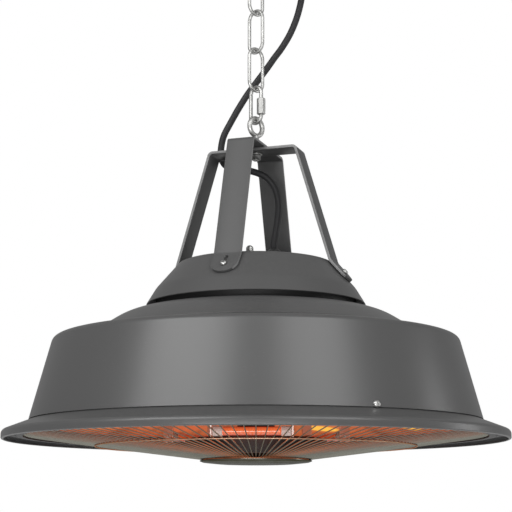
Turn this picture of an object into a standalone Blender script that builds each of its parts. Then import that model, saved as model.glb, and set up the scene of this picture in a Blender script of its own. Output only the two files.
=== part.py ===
"""Hanging patio heater: a turned sheet-metal shade on two crossed straps, an eye bolt, a quick link and a
chain, with three quartz lamps above a grille of radial wires.

Metres, +Z up. The origin is the middle of the ceiling plate's top face. Heights of the heater are given above
the bottom edge of its rim, and the front of the heater is -Y.
"""
import math

import bmesh
import bpy
from mathutils import Matrix, Vector

MM = 0.001
GAP = 0.3 * MM                      # clearance between neighbouring pieces
OVERRUN = 3 * MM                    # how far a cutter runs past the piece that it cuts
SHEET = 1.2 * MM                    # sheet metal of the shade
TURN_STEPS = 40                     # faces round a large turned piece
SMALL_STEPS = 8                     # faces round a screw, a nut or a hole
FACET_ANGLE = math.radians(31)      # the most that one face of a fillet turns

# Rim ring and drum
DRUM_RADIUS = 239.9 * MM
FLANGE_WIDTH = 27.6 * MM
RIM_RADIUS = DRUM_RADIUS + FLANGE_WIDTH
RIM_LIP = 8.4 * MM
RIM_LIP_ROUND = 5 * MM
RIM_HEM = 3 * MM
RIM_UPSTAND = 14 * MM
FLANGE_SLOPE = math.radians(21)
DRUM_CORNER_HEIGHT = 106.8 * MM
DRUM_TAPER = math.radians(14.9)
DRUM_ROUND = 7.8 * MM
DRUM_TOP_SLOPE = math.radians(7.3)

# Shoulder, neck and dome
SHOULDER_RADIUS = 175.8 * MM
SHOULDER_SEAT = 25.8 * MM           # how far the drum's top plate reaches in under the shoulder
DRUM_OPENING = SHOULDER_RADIUS - SHOULDER_SEAT
SHOULDER_SLOPE = math.radians(32)
SHOULDER_ROUND = 75 * MM
SHOULDER_RISE = 27.5 * MM
SHOULDER_FOOT = 14 * MM
NECK_RADIUS = 108 * MM
NECK_FOOT = 10 * MM
NECK_OVERLAP = 13 * MM
DOME_GAP = 5 * MM
DOME_OVERHANG = 10.3 * MM
DOME_RADIUS = NECK_RADIUS + DOME_OVERHANG
DOME_SKIRT_HEIGHT = 16.8 * MM
DOME_SKIRT_SLOPE = math.radians(31)
DOME_HEIGHT = 45.5 * MM
DOME_SLOPE = math.radians(40.9)
DOME_TOP_ROUND = 6 * MM
DOME_WAIST_ROUND = 40 * MM

# Crossed straps of flat bar
STRAP_WIDTH = 30 * MM
STRAP_THICKNESS = 3 * MM
STRAP_RISE = 130.8 * MM             # top of the upper strap above the dome
STRAP_INSET = 32.845 * MM           # from the dome's top edge in to the strap's bend
STRAP_SPLAY = math.radians(16.6)
STRAP_BEND = 6 * MM
STRAP_KNEE_BEND = 8 * MM
STRAP_FOOT = 28 * MM
STRAP_TURN = math.radians(-19)
SLOT_WIDTH = 4.6 * MM
SLOT_LENGTH = 16 * MM
STRAP_SCREW_FROM_END = 11.5 * MM

# Screws with their nuts: head radius, head height, shank radius, nut radius, nut height
STRAP_SCREW = (3.5 * MM, 2.4 * MM, 2 * MM, 3.6 * MM, 3 * MM)
RIM_SCREW = (2.8 * MM, 2.6 * MM, 1.5 * MM, 2.8 * MM, 2.4 * MM)
CAP_NUT = (4.5 * MM, 11.5 * MM, 2.5 * MM, 4.5 * MM, 3 * MM)
NUT_GAP = 1.0 * MM                  # the sheet's flat facets need more than GAP here
RIM_SCREW_HEIGHT = 3.2 * MM         # above the drum's bottom edge
RIM_SCREW_TURN = math.radians(31)
RIM_SCREW_COUNT = 3
CAP_NUT_SIDE = -6.6 * MM
CAP_NUT_INSET = 33.345 * MM         # from the dome's top edge, toward the middle

# Glands: the cord passes into the narrow end
GLAND_PLACE = (20 * MM, 20 * MM)
GLAND_BASE_RADIUS = 8.5 * MM
GLAND_BASE_HEIGHT = 7 * MM
GLAND_HEIGHT = 20 * MM
GLAND_MOUTH_RADIUS = 5.2 * MM
GLAND_STEM_RADIUS = 6 * MM
GLAND_NUT_HEIGHT = 4 * MM

# Eye bolt, quick link, chain and hook
EYE_WIRE = 5.5 * MM
EYE_HOLE = 14 * MM
EYE_COLLAR_RADIUS = 5.5 * MM
EYE_COLLAR_HEIGHT = 12 * MM
EYE_SHANK_RADIUS = 3 * MM
EYE_SHANK_END = 1.4 * MM
WASHER_RADIUS = 7 * MM
WASHER_THICKNESS = 1.5 * MM
NUT_RADIUS = 5.7 * MM
NUT_HEIGHT = 5 * MM
QUICK_WIRE = 4.2 * MM
QUICK_WIDTH = 20.2 * MM
QUICK_LENGTH = 45.6 * MM
QUICK_MOUTH = 5 * MM
SLEEVE_RADIUS = 4.8 * MM
SLEEVE_LENGTH = 19 * MM
SLEEVE_BORE = 5 * MM
LINK_WIRE = 3.8 * MM
LINK_WIDTH = 24.5 * MM
LINK_LENGTH = 52.5 * MM
LINK_COUNT = 3
HOOK_WIRE = 5 * MM
HOOK_BORE = 18 * MM
HOOK_SHANK = 13.4 * MM
HOOK_SEAT = 2.5 * MM
HOOK_COLLAR_RADIUS = 6 * MM
HOOK_COLLAR_HEIGHT = 4 * MM
HOOK_SWEEP = math.radians(300)
PLATE_RADIUS = 70 * MM
PLATE_THICKNESS = 4 * MM
PLATE_ROUND = 1.5 * MM
PLATE_HOLE_RADIUS = 2.7 * MM
PLATE_HOLE_CIRCLE = 58 * MM
PLATE_HOLE_COUNT = 3
CHAIN_TURN = math.radians(45)
WIRE_STEPS = 8                      # points in each half circle of a link

# Reflector, lamps and hub
REFLECTOR_HEIGHT = 40 * MM
REFLECTOR_FLAT = 130 * MM
REFLECTOR_EDGE_HEIGHT = 16 * MM
HUB_RADIUS = 75.5 * MM
LAMP_COUNT = 3
LAMP_TURN = math.radians(-2.7)
LAMP_STAND_OFF = 9.5 * MM           # from the hub's rim to the lamps' middle lines
LAMP_CIRCLE = HUB_RADIUS + LAMP_STAND_OFF
LAMP_HEIGHT = 5.5 * MM
LAMP_LENGTH = 80 * MM
LAMP_CAP_LENGTH = 11 * MM
LAMP_CAP_RADIUS = 5 * MM
LAMP_RADIUS = 4.5 * MM
LAMP_PIN_RADIUS = 1.5 * MM
LAMP_PIN_LENGTH = 2.6 * MM
LAMP_BRACKET_WIDTH = 12 * MM
LAMP_BRACKET_SHEET = 1.5 * MM
LAMP_BRACKET_BEND = 2.5 * MM
LAMP_BRACKET_BELOW = 6 * MM
HUB_TOP = 2 * MM
HUB_BOTTOM = -15.2 * MM
HUB_NECK_RADIUS = 20 * MM
HUB_POST_RADIUS = 6 * MM
HUB_ROUND = 2 * MM

# Grille
GRILLE_WIRES = 80
GRILLE_WIRE = 1.6 * MM
GRILLE_INSET = 17.8 * MM
GRILLE_RADIUS = RIM_RADIUS - GRILLE_INSET
GRILLE_RING = 4.7 * MM
GRILLE_HEIGHT = 5.5 * MM
GRILLE_MID_RADIUS = 170 * MM
GRILLE_MID_HEIGHT = -5 * MM
GRILLE_INNER_RADIUS = 61 * MM
GRILLE_INNER_RING = 8 * MM
GRILLE_INNER_HEIGHT = -18.7 * MM
MID_RING_GAP = 0.5 * MM
FRAME_RADIUS = (GRILLE_RADIUS + GAP) / math.cos(math.pi / TURN_STEPS) + SHEET
FRAME_LEDGE = 7 * MM
CAP_RADIUS = 59.5 * MM
CAP_FACE_RADIUS = 51.5 * MM
CAP_DEPTH = 6.8 * MM
CAP_ROUND = 4 * MM

# Cord: the free route from the gland to the grip, heights above the rim's bottom edge
CORD_RADIUS = 3.75 * MM
CORD_STEP = 15 * MM
GRIP_PLACE = (54 * MM, 26 * MM)
CORD_ROUTE = [
    (0.0225, 0.0200, 0.234), (0.0248, 0.0190, 0.253), (0.0245, 0.0178, 0.266), (0.0207, 0.0160, 0.2795),
    (0.0125, 0.0140, 0.290), (0.0030, 0.0130, 0.2955), (-0.0090, 0.0150, 0.2995), (-0.0240, 0.0235, 0.3040),
    (-0.0350, 0.0335, 0.3105), (-0.0395, 0.0380, 0.3215), (-0.0392, 0.0385, 0.334), (-0.0362, 0.0372, 0.346),
    (-0.0295, 0.0357, 0.3590), (-0.0203, 0.0340, 0.3755), (-0.0100, 0.0320, 0.3920), (0.0005, 0.0310, 0.4065),
    (0.0116, 0.0300, 0.4215), (0.0208, 0.0300, 0.435), (0.0297, 0.0300, 0.4475), (0.0392, 0.0292, 0.4640),
    (0.0468, 0.0280, 0.4830), (0.0518, 0.0268, 0.503), (0.0537, 0.0262, 0.5200),
]

# Heights that follow from the sizes above
FLANGE_TOP_HEIGHT = RIM_LIP + (RIM_RADIUS - DRUM_RADIUS) * math.tan(FLANGE_SLOPE)
DRUM_BOTTOM = FLANGE_TOP_HEIGHT + GAP
UPSTAND_TOP = DRUM_BOTTOM + RIM_UPSTAND
DRUM_CORNER_RADIUS = DRUM_RADIUS - (DRUM_CORNER_HEIGHT - DRUM_BOTTOM) * math.tan(DRUM_TAPER)


def drum_top(radius):
    """Height of the drum's top plate at a radius."""
    return DRUM_CORNER_HEIGHT + (DRUM_CORNER_RADIUS - radius) * math.tan(DRUM_TOP_SLOPE)


def drum_wall(height, depth):
    """Radius of the drum's tapered wall at a height, a depth below its outer face."""
    return DRUM_RADIUS - (height - DRUM_BOTTOM) * math.tan(DRUM_TAPER) - depth / math.cos(DRUM_TAPER)


def flange_underside(radius):
    """Height of the rim flange's lower face at a radius."""
    return RIM_LIP + (RIM_RADIUS - radius) * math.tan(FLANGE_SLOPE) - SHEET / math.cos(FLANGE_SLOPE)


SHOULDER_BASE = drum_top(SHOULDER_RADIUS) + GAP
SHOULDER_TOP = SHOULDER_BASE + SHOULDER_RISE
SHOULDER_CORNER = SHOULDER_RADIUS - SHOULDER_RISE / math.tan(SHOULDER_SLOPE)
DOME_BOTTOM = SHOULDER_TOP + DOME_GAP
DOME_TOP = DOME_BOTTOM + DOME_HEIGHT
DOME_WAIST_HEIGHT = DOME_BOTTOM + DOME_SKIRT_HEIGHT
DOME_WAIST_RADIUS = DOME_RADIUS - DOME_SKIRT_HEIGHT * math.tan(DOME_SKIRT_SLOPE)
DOME_TOP_RADIUS = DOME_WAIST_RADIUS - (DOME_TOP - DOME_WAIST_HEIGHT) * math.tan(DOME_SLOPE)
CAP_NUT_PLACE = (CAP_NUT_SIDE, CAP_NUT_INSET - DOME_TOP_RADIUS)
STRAP_REACH = DOME_TOP_RADIUS - STRAP_INSET
STRAP_TOP = DOME_TOP + STRAP_RISE
STRAP_STEP = STRAP_THICKNESS + GAP
EYE_OUTER_RADIUS = EYE_HOLE / 2 + EYE_WIRE
EYE_HEIGHT = STRAP_TOP + GAP + EYE_COLLAR_HEIGHT - EYE_WIRE / 6 + EYE_OUTER_RADIUS


def carried_above(top_inside, wire):
    """Height of the middle of a wire that carries a piece hanging by the inside of its top."""
    return top_inside - GAP - wire / 2


HEATER_PIVOT = carried_above(EYE_HEIGHT + EYE_HOLE / 2, QUICK_WIRE)
QUICK_TOP = HEATER_PIVOT - QUICK_WIRE / 2 + QUICK_LENGTH
QUICK_PIVOT = carried_above(QUICK_TOP - QUICK_WIRE, LINK_WIRE)
LINK_PITCH = LINK_LENGTH - 2 * LINK_WIRE - GAP
LINK_TOP = QUICK_PIVOT - LINK_WIRE / 2 + LINK_LENGTH + (LINK_COUNT - 1) * LINK_PITCH
HOOK_PIVOT = carried_above(LINK_TOP - LINK_WIRE, HOOK_WIRE)
HOOK_RADIUS = (HOOK_BORE + HOOK_WIRE) / 2
PLATE_BOTTOM = HOOK_PIVOT + 2 * HOOK_RADIUS + HOOK_SHANK
HANG_HEIGHT = PLATE_BOTTOM + PLATE_THICKNESS

for old in list(bpy.data.objects):
    bpy.data.objects.remove(old, do_unlink=True)
heater_collection = bpy.data.collections.new("patio_heater")
cutter_collection = bpy.data.collections.new("cutters")
bpy.context.scene.collection.children.link(heater_collection)
bpy.context.scene.collection.children.link(cutter_collection)


def material(name, color, metallic, roughness):
    """A Principled material."""
    made = bpy.data.materials.new(name)
    made.use_nodes = True
    shader = made.node_tree.nodes["Principled BSDF"]
    shader.inputs["Base Color"].default_value = (*color, 1)
    shader.inputs["Metallic"].default_value = metallic
    shader.inputs["Roughness"].default_value = roughness
    return made


GREY_PAINT = material("grey_paint", (0.115, 0.115, 0.118), 0.35, 0.45)
BLACK_PAINT = material("black_paint", (0.012, 0.012, 0.012), 0.2, 0.5)
ZINC = material("zinc", (0.62, 0.62, 0.60), 1.0, 0.28)
ALUMINIUM = material("aluminium", (0.80, 0.80, 0.80), 1.0, 0.2)
RUBBER = material("rubber", (0.02, 0.02, 0.02), 0.0, 0.6)
PLASTIC = material("plastic", (0.015, 0.015, 0.015), 0.0, 0.45)
QUARTZ = material("quartz", (0.95, 0.35, 0.08), 0.0, 0.1)


def empty(name, location=(0, 0, 0), turn=0.0, parent=None):
    """An empty that carries a group of pieces."""
    made = bpy.data.objects.new(name, None)
    made.location = location
    made.rotation_euler = (0, 0, turn)
    made.parent = parent
    heater_collection.objects.link(made)
    return made


def add_piece(name, mesh, skin, parent, place=None):
    """Link a mesh as a piece, or as a cutter when it has no skin."""
    made = bpy.data.objects.new(name, mesh)
    made.parent = parent
    if place is not None:
        made.matrix_local = place
    if skin is None:
        made.hide_render = True
        made.display_type = "WIRE"
        cutter_collection.objects.link(made)
    else:
        mesh.materials.append(skin)
        heater_collection.objects.link(made)
    return made


def rounded_path(corners):
    """Points of a path through corners (across, height, fillet radius), with the fillets as arcs."""
    points = []
    for index, (across, height, radius) in enumerate(corners):
        here = Vector((across, height))
        if radius == 0 or index in (0, len(corners) - 1):
            points.append(here)
            continue
        back = (Vector(corners[index - 1][:2]) - here).normalized()
        ahead = (Vector(corners[index + 1][:2]) - here).normalized()
        half = back.angle(ahead) / 2
        centre = here + (back + ahead).normalized() * radius / math.sin(half)
        start = here + back * radius / math.tan(half) - centre
        turn = math.pi - 2 * half
        if start.y * back.x < start.x * back.y:
            turn = -turn
        count = math.ceil(abs(turn) / FACET_ANGLE)
        points += [centre + Matrix.Rotation(turn * step / count, 2) @ start for step in range(count + 1)]
    return points


def turned(name, corners, skin, parent, wall=0.0, closed=False, steps=TURN_STEPS, place=None):
    """Turn a path about Z. A wall makes a sheet shell below the path's outer face."""
    points = rounded_path(corners)
    edges = [(index, index + 1) for index in range(len(points) - 1)]
    if closed:
        edges.append((len(points) - 1, 0))
    mesh = bpy.data.meshes.new(name)
    mesh.from_pydata([(point.x, 0, point.y) for point in points], edges, [])
    made = add_piece(name, mesh, skin, parent, place)
    screw = made.modifiers.new("Turn", "SCREW")
    screw.steps = screw.render_steps = steps
    screw.use_merge_vertices = True
    screw.merge_threshold = 0.01 * MM
    if wall:
        thicken(made, wall, -1)
    return made


def thicken(piece, wall, offset):
    """Give a surface its wall."""
    solidify = piece.modifiers.new("Wall", "SOLIDIFY")
    solidify.thickness = wall
    solidify.offset = offset
    solidify.use_even_offset = True


def bent_strip(name, corners, width, wall, skin, parent, end_round=0.0, place=None):
    """Bend a flat bar along a path in the XZ plane. The bar's width lies along Y."""
    points = rounded_path(corners)
    bm = bmesh.new()
    edge_points = [bm.verts.new((point.x, -width / 2, point.y)) for point in points]
    edges = [bm.edges.new(pair) for pair in zip(edge_points, edge_points[1:])]
    grown = bmesh.ops.extrude_edge_only(bm, edges=edges)["geom"]
    bmesh.ops.translate(bm, verts=[item for item in grown if isinstance(item, bmesh.types.BMVert)],
                        vec=(0, width, 0))
    bm.normal_update()
    highest = max(bm.faces, key=lambda face: face.calc_center_median().z)
    if highest.normal.z < 0:
        bmesh.ops.reverse_faces(bm, faces=bm.faces[:])
    if end_round:
        ends = [vert for vert in bm.verts if len(vert.link_edges) == 2]
        bmesh.ops.bevel(bm, geom=ends, offset=end_round, segments=4, profile=0.5, affect="VERTICES")
    mesh = bpy.data.meshes.new(name)
    bm.to_mesh(mesh)
    bm.free()
    made = add_piece(name, mesh, skin, parent, place)
    thicken(made, wall, -1)
    return made


def wire(name, points, thickness, skin, parent, cyclic=False, resolution=2, place=None):
    """A round wire through points, as a mesh."""
    curve = bpy.data.curves.new(name, "CURVE")
    curve.dimensions = "3D"
    curve.bevel_depth = thickness / 2
    curve.bevel_resolution = resolution
    curve.use_fill_caps = True
    spline = curve.splines.new("POLY")
    spline.points.add(len(points) - 1)
    for target, point in zip(spline.points, points):
        target.co = (*point, 1)
    spline.use_cyclic_u = cyclic
    drawn = bpy.data.objects.new(name + "_curve", curve)
    cutter_collection.objects.link(drawn)
    mesh = bpy.data.meshes.new_from_object(drawn.evaluated_get(bpy.context.evaluated_depsgraph_get()))
    bpy.data.objects.remove(drawn)
    bm = bmesh.new()
    bm.from_mesh(mesh)
    bmesh.ops.remove_doubles(bm, verts=bm.verts[:], dist=0.01 * MM)
    bm.to_mesh(mesh)
    bm.free()
    mesh.materials.clear()
    return add_piece(name, mesh, skin, parent, place)


def drills(name, radius, places, parent, length=2 * OVERRUN, steps=SMALL_STEPS):
    """Cylinders along the Z axis of each place, as one cutter."""
    bm = bmesh.new()
    for place in places:
        bmesh.ops.create_cone(bm, cap_ends=True, segments=steps, radius1=radius, radius2=radius, depth=length,
                              matrix=place)
    mesh = bpy.data.meshes.new(name)
    bm.to_mesh(mesh)
    bm.free()
    return add_piece(name, mesh, None, parent)


def combine(piece, tool, operation="DIFFERENCE"):
    """Cut a piece with a tool, or join it to one."""
    boolean = piece.modifiers.new(tool.name, "BOOLEAN")
    boolean.operation = operation
    boolean.solver = "EXACT"
    boolean.object = tool


def at(x, y, z):
    """A place without any turn."""
    return Matrix.Translation((x, y, z))


def around(angle):
    """A turn about Z, from the front toward the right."""
    return Matrix.Rotation(angle, 4, "Z")


def tilted(location, slope):
    """A place in the XZ plane whose Z axis leans from up toward +X by a slope."""
    return Matrix.Translation(location) @ Matrix.Rotation(slope, 4, "Y")


def fastener(name, sizes, grip, parent, place):
    """A domed screw from Z = GAP up, its shank through a grip below, and its nut behind the grip."""
    head_radius, head_height, shank_radius, nut_radius, nut_height = sizes
    nut_top = -grip - NUT_GAP
    corners = [(0, GAP + head_height, 0), (head_radius, GAP + head_height, min(head_radius, head_height) / 1.2),
               (head_radius, GAP, 0), (shank_radius, GAP, 0), (shank_radius, nut_top, 0),
               (nut_radius, nut_top, 0), (nut_radius, nut_top - nut_height, 0), (0, nut_top - nut_height, 0)]
    return turned(name, corners, ZINC, parent, steps=SMALL_STEPS, place=place)


def gland(name, parent, place, stem, nut_height):
    """A cord gland that stands on Z = 0, with its stem and lock nut below."""
    corners = [(0, GLAND_HEIGHT, 0), (GLAND_MOUTH_RADIUS, GLAND_HEIGHT, 0),
               (GLAND_BASE_RADIUS, GLAND_BASE_HEIGHT + (GLAND_HEIGHT - GLAND_BASE_HEIGHT) / 2, 0),
               (GLAND_BASE_RADIUS, GAP, 0), (GLAND_STEM_RADIUS, GAP, 0), (GLAND_STEM_RADIUS, -stem, 0)]
    if nut_height:
        corners += [(GLAND_BASE_RADIUS, -stem, 0), (GLAND_BASE_RADIUS, -stem - nut_height, 0)]
    corners.append((0, corners[-1][1], 0))
    return turned(name, corners, PLASTIC, parent, steps=2 * SMALL_STEPS, place=place)


def arc(radius, middle, start, sweep, steps):
    """Points on a circle in the XZ plane."""
    turns = [start + sweep * step / steps for step in range(steps + 1)]
    return [Vector((radius * math.cos(turn), 0, middle + radius * math.sin(turn))) for turn in turns]


root = empty("ceiling_fixing", (0, 0, -HANG_HEIGHT))
RIM_SCREW_PLACES = [
    around(RIM_SCREW_TURN + math.tau * index / RIM_SCREW_COUNT - math.pi / 2)
    @ tilted((drum_wall(DRUM_BOTTOM + RIM_SCREW_HEIGHT, 0), 0, DRUM_BOTTOM + RIM_SCREW_HEIGHT),
             math.pi / 2 - DRUM_TAPER)
    for index in range(RIM_SCREW_COUNT)]


def make_shade():
    """The rim ring, drum, shoulder and neck, with the rim's screws."""
    upstand_depth = SHEET + GAP
    bend_height = RIM_LIP + (RIM_RADIUS - drum_wall(DRUM_BOTTOM, upstand_depth)) * math.tan(FLANGE_SLOPE)
    rim = turned("rim_ring", [(drum_wall(UPSTAND_TOP, upstand_depth), UPSTAND_TOP, 0),
                              (drum_wall(bend_height, upstand_depth), bend_height, 0),
                              (RIM_RADIUS, RIM_LIP, RIM_LIP_ROUND), (RIM_RADIUS, 0, 0),
                              (RIM_RADIUS - RIM_HEM, 0, 0)], GREY_PAINT, root, wall=SHEET)
    drum_end = DRUM_BOTTOM + SHEET * (math.sin(DRUM_TAPER) + math.tan(FLANGE_SLOPE))
    drum = turned("shade_drum", [(DRUM_OPENING, drum_top(DRUM_OPENING), 0),
                                 (DRUM_CORNER_RADIUS, DRUM_CORNER_HEIGHT, DRUM_ROUND),
                                 (drum_wall(drum_end, 0), drum_end, 0)],
                  GREY_PAINT, root, wall=SHEET)
    turned("shoulder_cover", [(NECK_RADIUS - NECK_FOOT, SHOULDER_TOP, 0),
                              (SHOULDER_CORNER, SHOULDER_TOP, SHOULDER_ROUND),
                              (SHOULDER_RADIUS, SHOULDER_BASE, 0),
                              (SHOULDER_RADIUS - SHOULDER_FOOT, drum_top(SHOULDER_RADIUS - SHOULDER_FOOT) + GAP, 0)],
           GREY_PAINT, root, wall=SHEET)
    turned("neck_ring", [(NECK_RADIUS, DOME_BOTTOM + NECK_OVERLAP, 0), (NECK_RADIUS, SHOULDER_TOP + GAP, 0),
                         (NECK_RADIUS - NECK_FOOT, SHOULDER_TOP + GAP, 0)], BLACK_PAINT, root, wall=SHEET)
    reflector = make_reflector()
    holes = drills("rim_screw_holes", RIM_SCREW[2] + GAP, RIM_SCREW_PLACES, root,
                   length=2 * (4 * SHEET + 2 * GAP + OVERRUN))
    for sheet in (rim, drum, reflector):
        combine(sheet, holes)
    for index, place in enumerate(RIM_SCREW_PLACES):
        fastener(f"rim_screw_{index + 1}", RIM_SCREW, 3 * SHEET + 2 * GAP, root, place)


def make_reflector():
    """The polished dish above the lamps, which the rim's screws hold too."""
    flange_depth = 3 * SHEET + 2 * GAP
    return turned("reflector", [(0, REFLECTOR_HEIGHT, 0), (REFLECTOR_FLAT, REFLECTOR_HEIGHT, 0),
                                (drum_wall(REFLECTOR_EDGE_HEIGHT, flange_depth), REFLECTOR_EDGE_HEIGHT, 0),
                                (drum_wall(UPSTAND_TOP, flange_depth), UPSTAND_TOP, 0)],
                  ALUMINIUM, root, wall=SHEET)


def foot_frame(top):
    """The knee and the end of a strap's foot, and the foot's direction, in the strap's plane."""
    down = Vector((math.sin(DOME_SLOPE), -math.cos(DOME_SLOPE)))
    normal = Vector((math.cos(DOME_SLOPE), math.sin(DOME_SLOPE)))
    on_dome = Vector((DOME_TOP_RADIUS, DOME_TOP)) + normal * (STRAP_THICKNESS + GAP)
    leg = Vector((math.sin(STRAP_SPLAY), -math.cos(STRAP_SPLAY)))
    corner = Vector((STRAP_REACH, top))
    offset = corner - on_dome
    along = (offset.x * leg.y - offset.y * leg.x) / (down.x * leg.y - down.y * leg.x)
    knee = on_dome + down * along
    return knee, knee + down * STRAP_FOOT, down


def make_strap(name, top, bracket, turn, first_screw):
    """A strap bent over the top and down to two rounded feet on the dome, with a slot and a screw in each."""
    knee, end, down = foot_frame(top)
    half = [(STRAP_REACH, top, STRAP_BEND), (knee.x, knee.y, STRAP_KNEE_BEND), (end.x, end.y, 0)]
    corners = [(-across, height, radius) for across, height, radius in reversed(half)] + half
    frame = empty(name + "_frame", turn=turn, parent=bracket)
    strap = bent_strip(name, corners, STRAP_WIDTH, STRAP_THICKNESS, GREY_PAINT, frame,
                       end_round=STRAP_WIDTH / 2 - GAP)
    bolt_hole = drills(name + "_bolt_hole", EYE_SHANK_RADIUS + GAP, [at(0, 0, top)], frame,
                       length=2 * (STRAP_THICKNESS + OVERRUN))
    combine(strap, bolt_hole)
    screw_point = end - down * STRAP_SCREW_FROM_END
    for index, side in enumerate((0, math.pi)):
        place = around(side) @ tilted((screw_point.x, 0, screw_point.y), math.pi / 2 - DOME_SLOPE)
        slot = drills(f"{name}_slot_{index}", SLOT_WIDTH / 2, [place], frame,
                      length=2 * (STRAP_THICKNESS + OVERRUN))
        stretch_slot(slot, place)
        combine(strap, slot)
        fastener(f"strap_screw_{first_screw + index}", STRAP_SCREW, STRAP_THICKNESS + GAP + SHEET, frame, place)
    return strap


def stretch_slot(slot, place):
    """Pull the upper half of a round cutter up the foot, into a slot."""
    uphill = place.to_3x3() @ Vector((-1, 0, 0))
    origin = place.to_translation()
    for vert in slot.data.vertices:
        if (vert.co - origin).dot(uphill) > GAP / 2:
            vert.co += uphill * (SLOT_LENGTH - SLOT_WIDTH)


def make_dome():
    """The dome with its gland, cap nut and holes, and the two straps on it."""
    dome = turned("dome_cover", [(0, DOME_TOP, 0), (DOME_TOP_RADIUS, DOME_TOP, DOME_TOP_ROUND),
                                 (DOME_WAIST_RADIUS, DOME_WAIST_HEIGHT, DOME_WAIST_ROUND),
                                 (DOME_RADIUS, DOME_BOTTOM, 0)], GREY_PAINT, root, wall=SHEET)
    gland_place = at(*GLAND_PLACE, DOME_TOP)
    nut_place = at(*CAP_NUT_PLACE, DOME_TOP)
    gland("cable_gland", root, gland_place, SHEET + GAP, GLAND_NUT_HEIGHT)
    fastener("top_cap_nut", CAP_NUT, SHEET, root, nut_place)
    combine(dome, drills("gland_hole", GLAND_STEM_RADIUS + GAP, [gland_place], root, steps=2 * SMALL_STEPS))
    combine(dome, drills("cap_nut_hole", CAP_NUT[2] + GAP, [nut_place], root))
    bracket = empty("bracket_frame", turn=STRAP_TURN, parent=root)
    screw_holes = []
    for index, top in enumerate((STRAP_TOP, STRAP_TOP - STRAP_STEP)):
        turn = math.pi / 2 * (1 - index)
        name = ("strap_front_back", "strap_side_side")[index]
        make_strap(name, top, bracket, turn, 1 + 2 * index)
        _knee, end, down = foot_frame(top)
        point = end - down * STRAP_SCREW_FROM_END
        for side in (0, math.pi):
            screw_holes.append(around(turn + side) @ tilted((point.x, 0, point.y), math.pi / 2 - DOME_SLOPE))
    combine(dome, drills("strap_screw_holes", STRAP_SCREW[2] + GAP, screw_holes, bracket,
                         length=4 * (STRAP_THICKNESS + SHEET)))


def make_eye():
    """The eye bolt that clamps the crossed straps, with its washer and nut below them."""
    under = STRAP_TOP - 2 * STRAP_STEP
    washer_bottom = under - WASHER_THICKNESS
    nut_bottom = washer_bottom - GAP - NUT_HEIGHT
    carrier = empty("eye_frame", turn=CHAIN_TURN, parent=root)
    ring_radius = (EYE_HOLE + EYE_WIRE) / 2
    ring = wire("eye_ring", arc(ring_radius, EYE_HEIGHT, 0, math.tau, 3 * WIRE_STEPS)[:-1], EYE_WIRE, None, carrier,
                cyclic=True)
    collar_bottom = STRAP_TOP + GAP
    bolt = turned("eye_bolt", [(0, collar_bottom + EYE_COLLAR_HEIGHT, 0),
                               (EYE_SHANK_RADIUS, collar_bottom + EYE_COLLAR_HEIGHT, 0),
                               (EYE_COLLAR_RADIUS, collar_bottom + EYE_COLLAR_HEIGHT / 2, 0),
                               (EYE_COLLAR_RADIUS, collar_bottom, 0), (EYE_SHANK_RADIUS, collar_bottom, 0),
                               (EYE_SHANK_RADIUS, nut_bottom - EYE_SHANK_END, 0),
                               (0, nut_bottom - EYE_SHANK_END, 0)], ZINC, carrier, steps=SMALL_STEPS)
    combine(bolt, ring, "UNION")
    bore = EYE_SHANK_RADIUS + GAP
    turned("eye_washer", [(bore, under, 0), (WASHER_RADIUS, under, 0), (WASHER_RADIUS, washer_bottom, 0),
                          (bore, washer_bottom, 0)], ZINC, carrier, closed=True, steps=2 * SMALL_STEPS)
    nut = turned("eye_nut", [(0, washer_bottom - GAP, 0), (NUT_RADIUS, washer_bottom - GAP, 0),
                             (NUT_RADIUS, nut_bottom, 0), (0, nut_bottom, 0)], ZINC, carrier, steps=6)
    combine(nut, drills("nut_bore", bore, [at(0, 0, nut_bottom)], carrier, length=4 * NUT_HEIGHT))


def link_path(width, length, thickness, top):
    """The middle line of a link whose outer top is at a height, from its right side over the top."""
    radius = (width - thickness) / 2
    upper = top - thickness / 2 - radius
    lower = top - length + thickness / 2 + radius
    return arc(radius, upper, 0, math.pi, WIRE_STEPS) + arc(radius, lower, math.pi, math.pi, WIRE_STEPS)


def make_quick_link():
    """The open wire link, and the hexagonal sleeve that closes its mouth."""
    frame = empty("quick_link_pivot", (0, 0, QUICK_PIVOT), -CHAIN_TURN, root)
    path = link_path(QUICK_WIDTH, QUICK_LENGTH, QUICK_WIRE, QUICK_TOP - QUICK_PIVOT)
    leg = (QUICK_WIDTH - QUICK_WIRE) / 2
    leg_bottom = path[-1].z
    mouth_top = leg_bottom + QUICK_WIRE / 4 + QUICK_MOUTH
    stub = Vector((leg, 0, leg_bottom + QUICK_WIRE / 4))
    wire("quick_link", [Vector((leg, 0, mouth_top))] + path + [stub], QUICK_WIRE, ZINC, frame)
    sleeve_frame = empty("sleeve_frame", (leg, 0, leg_bottom + GAP), parent=frame)
    sleeve = turned("quick_link_sleeve", [(0, SLEEVE_LENGTH, 0), (SLEEVE_RADIUS, SLEEVE_LENGTH, 0),
                                          (SLEEVE_RADIUS, 0, 0), (0, 0, 0)], ZINC, sleeve_frame, steps=6)
    combine(sleeve, drills("sleeve_bore", SLEEVE_BORE / 2, [at(0, 0, SLEEVE_LENGTH / 2)], sleeve_frame,
                           length=2 * SLEEVE_LENGTH, steps=2 * SMALL_STEPS))


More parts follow.
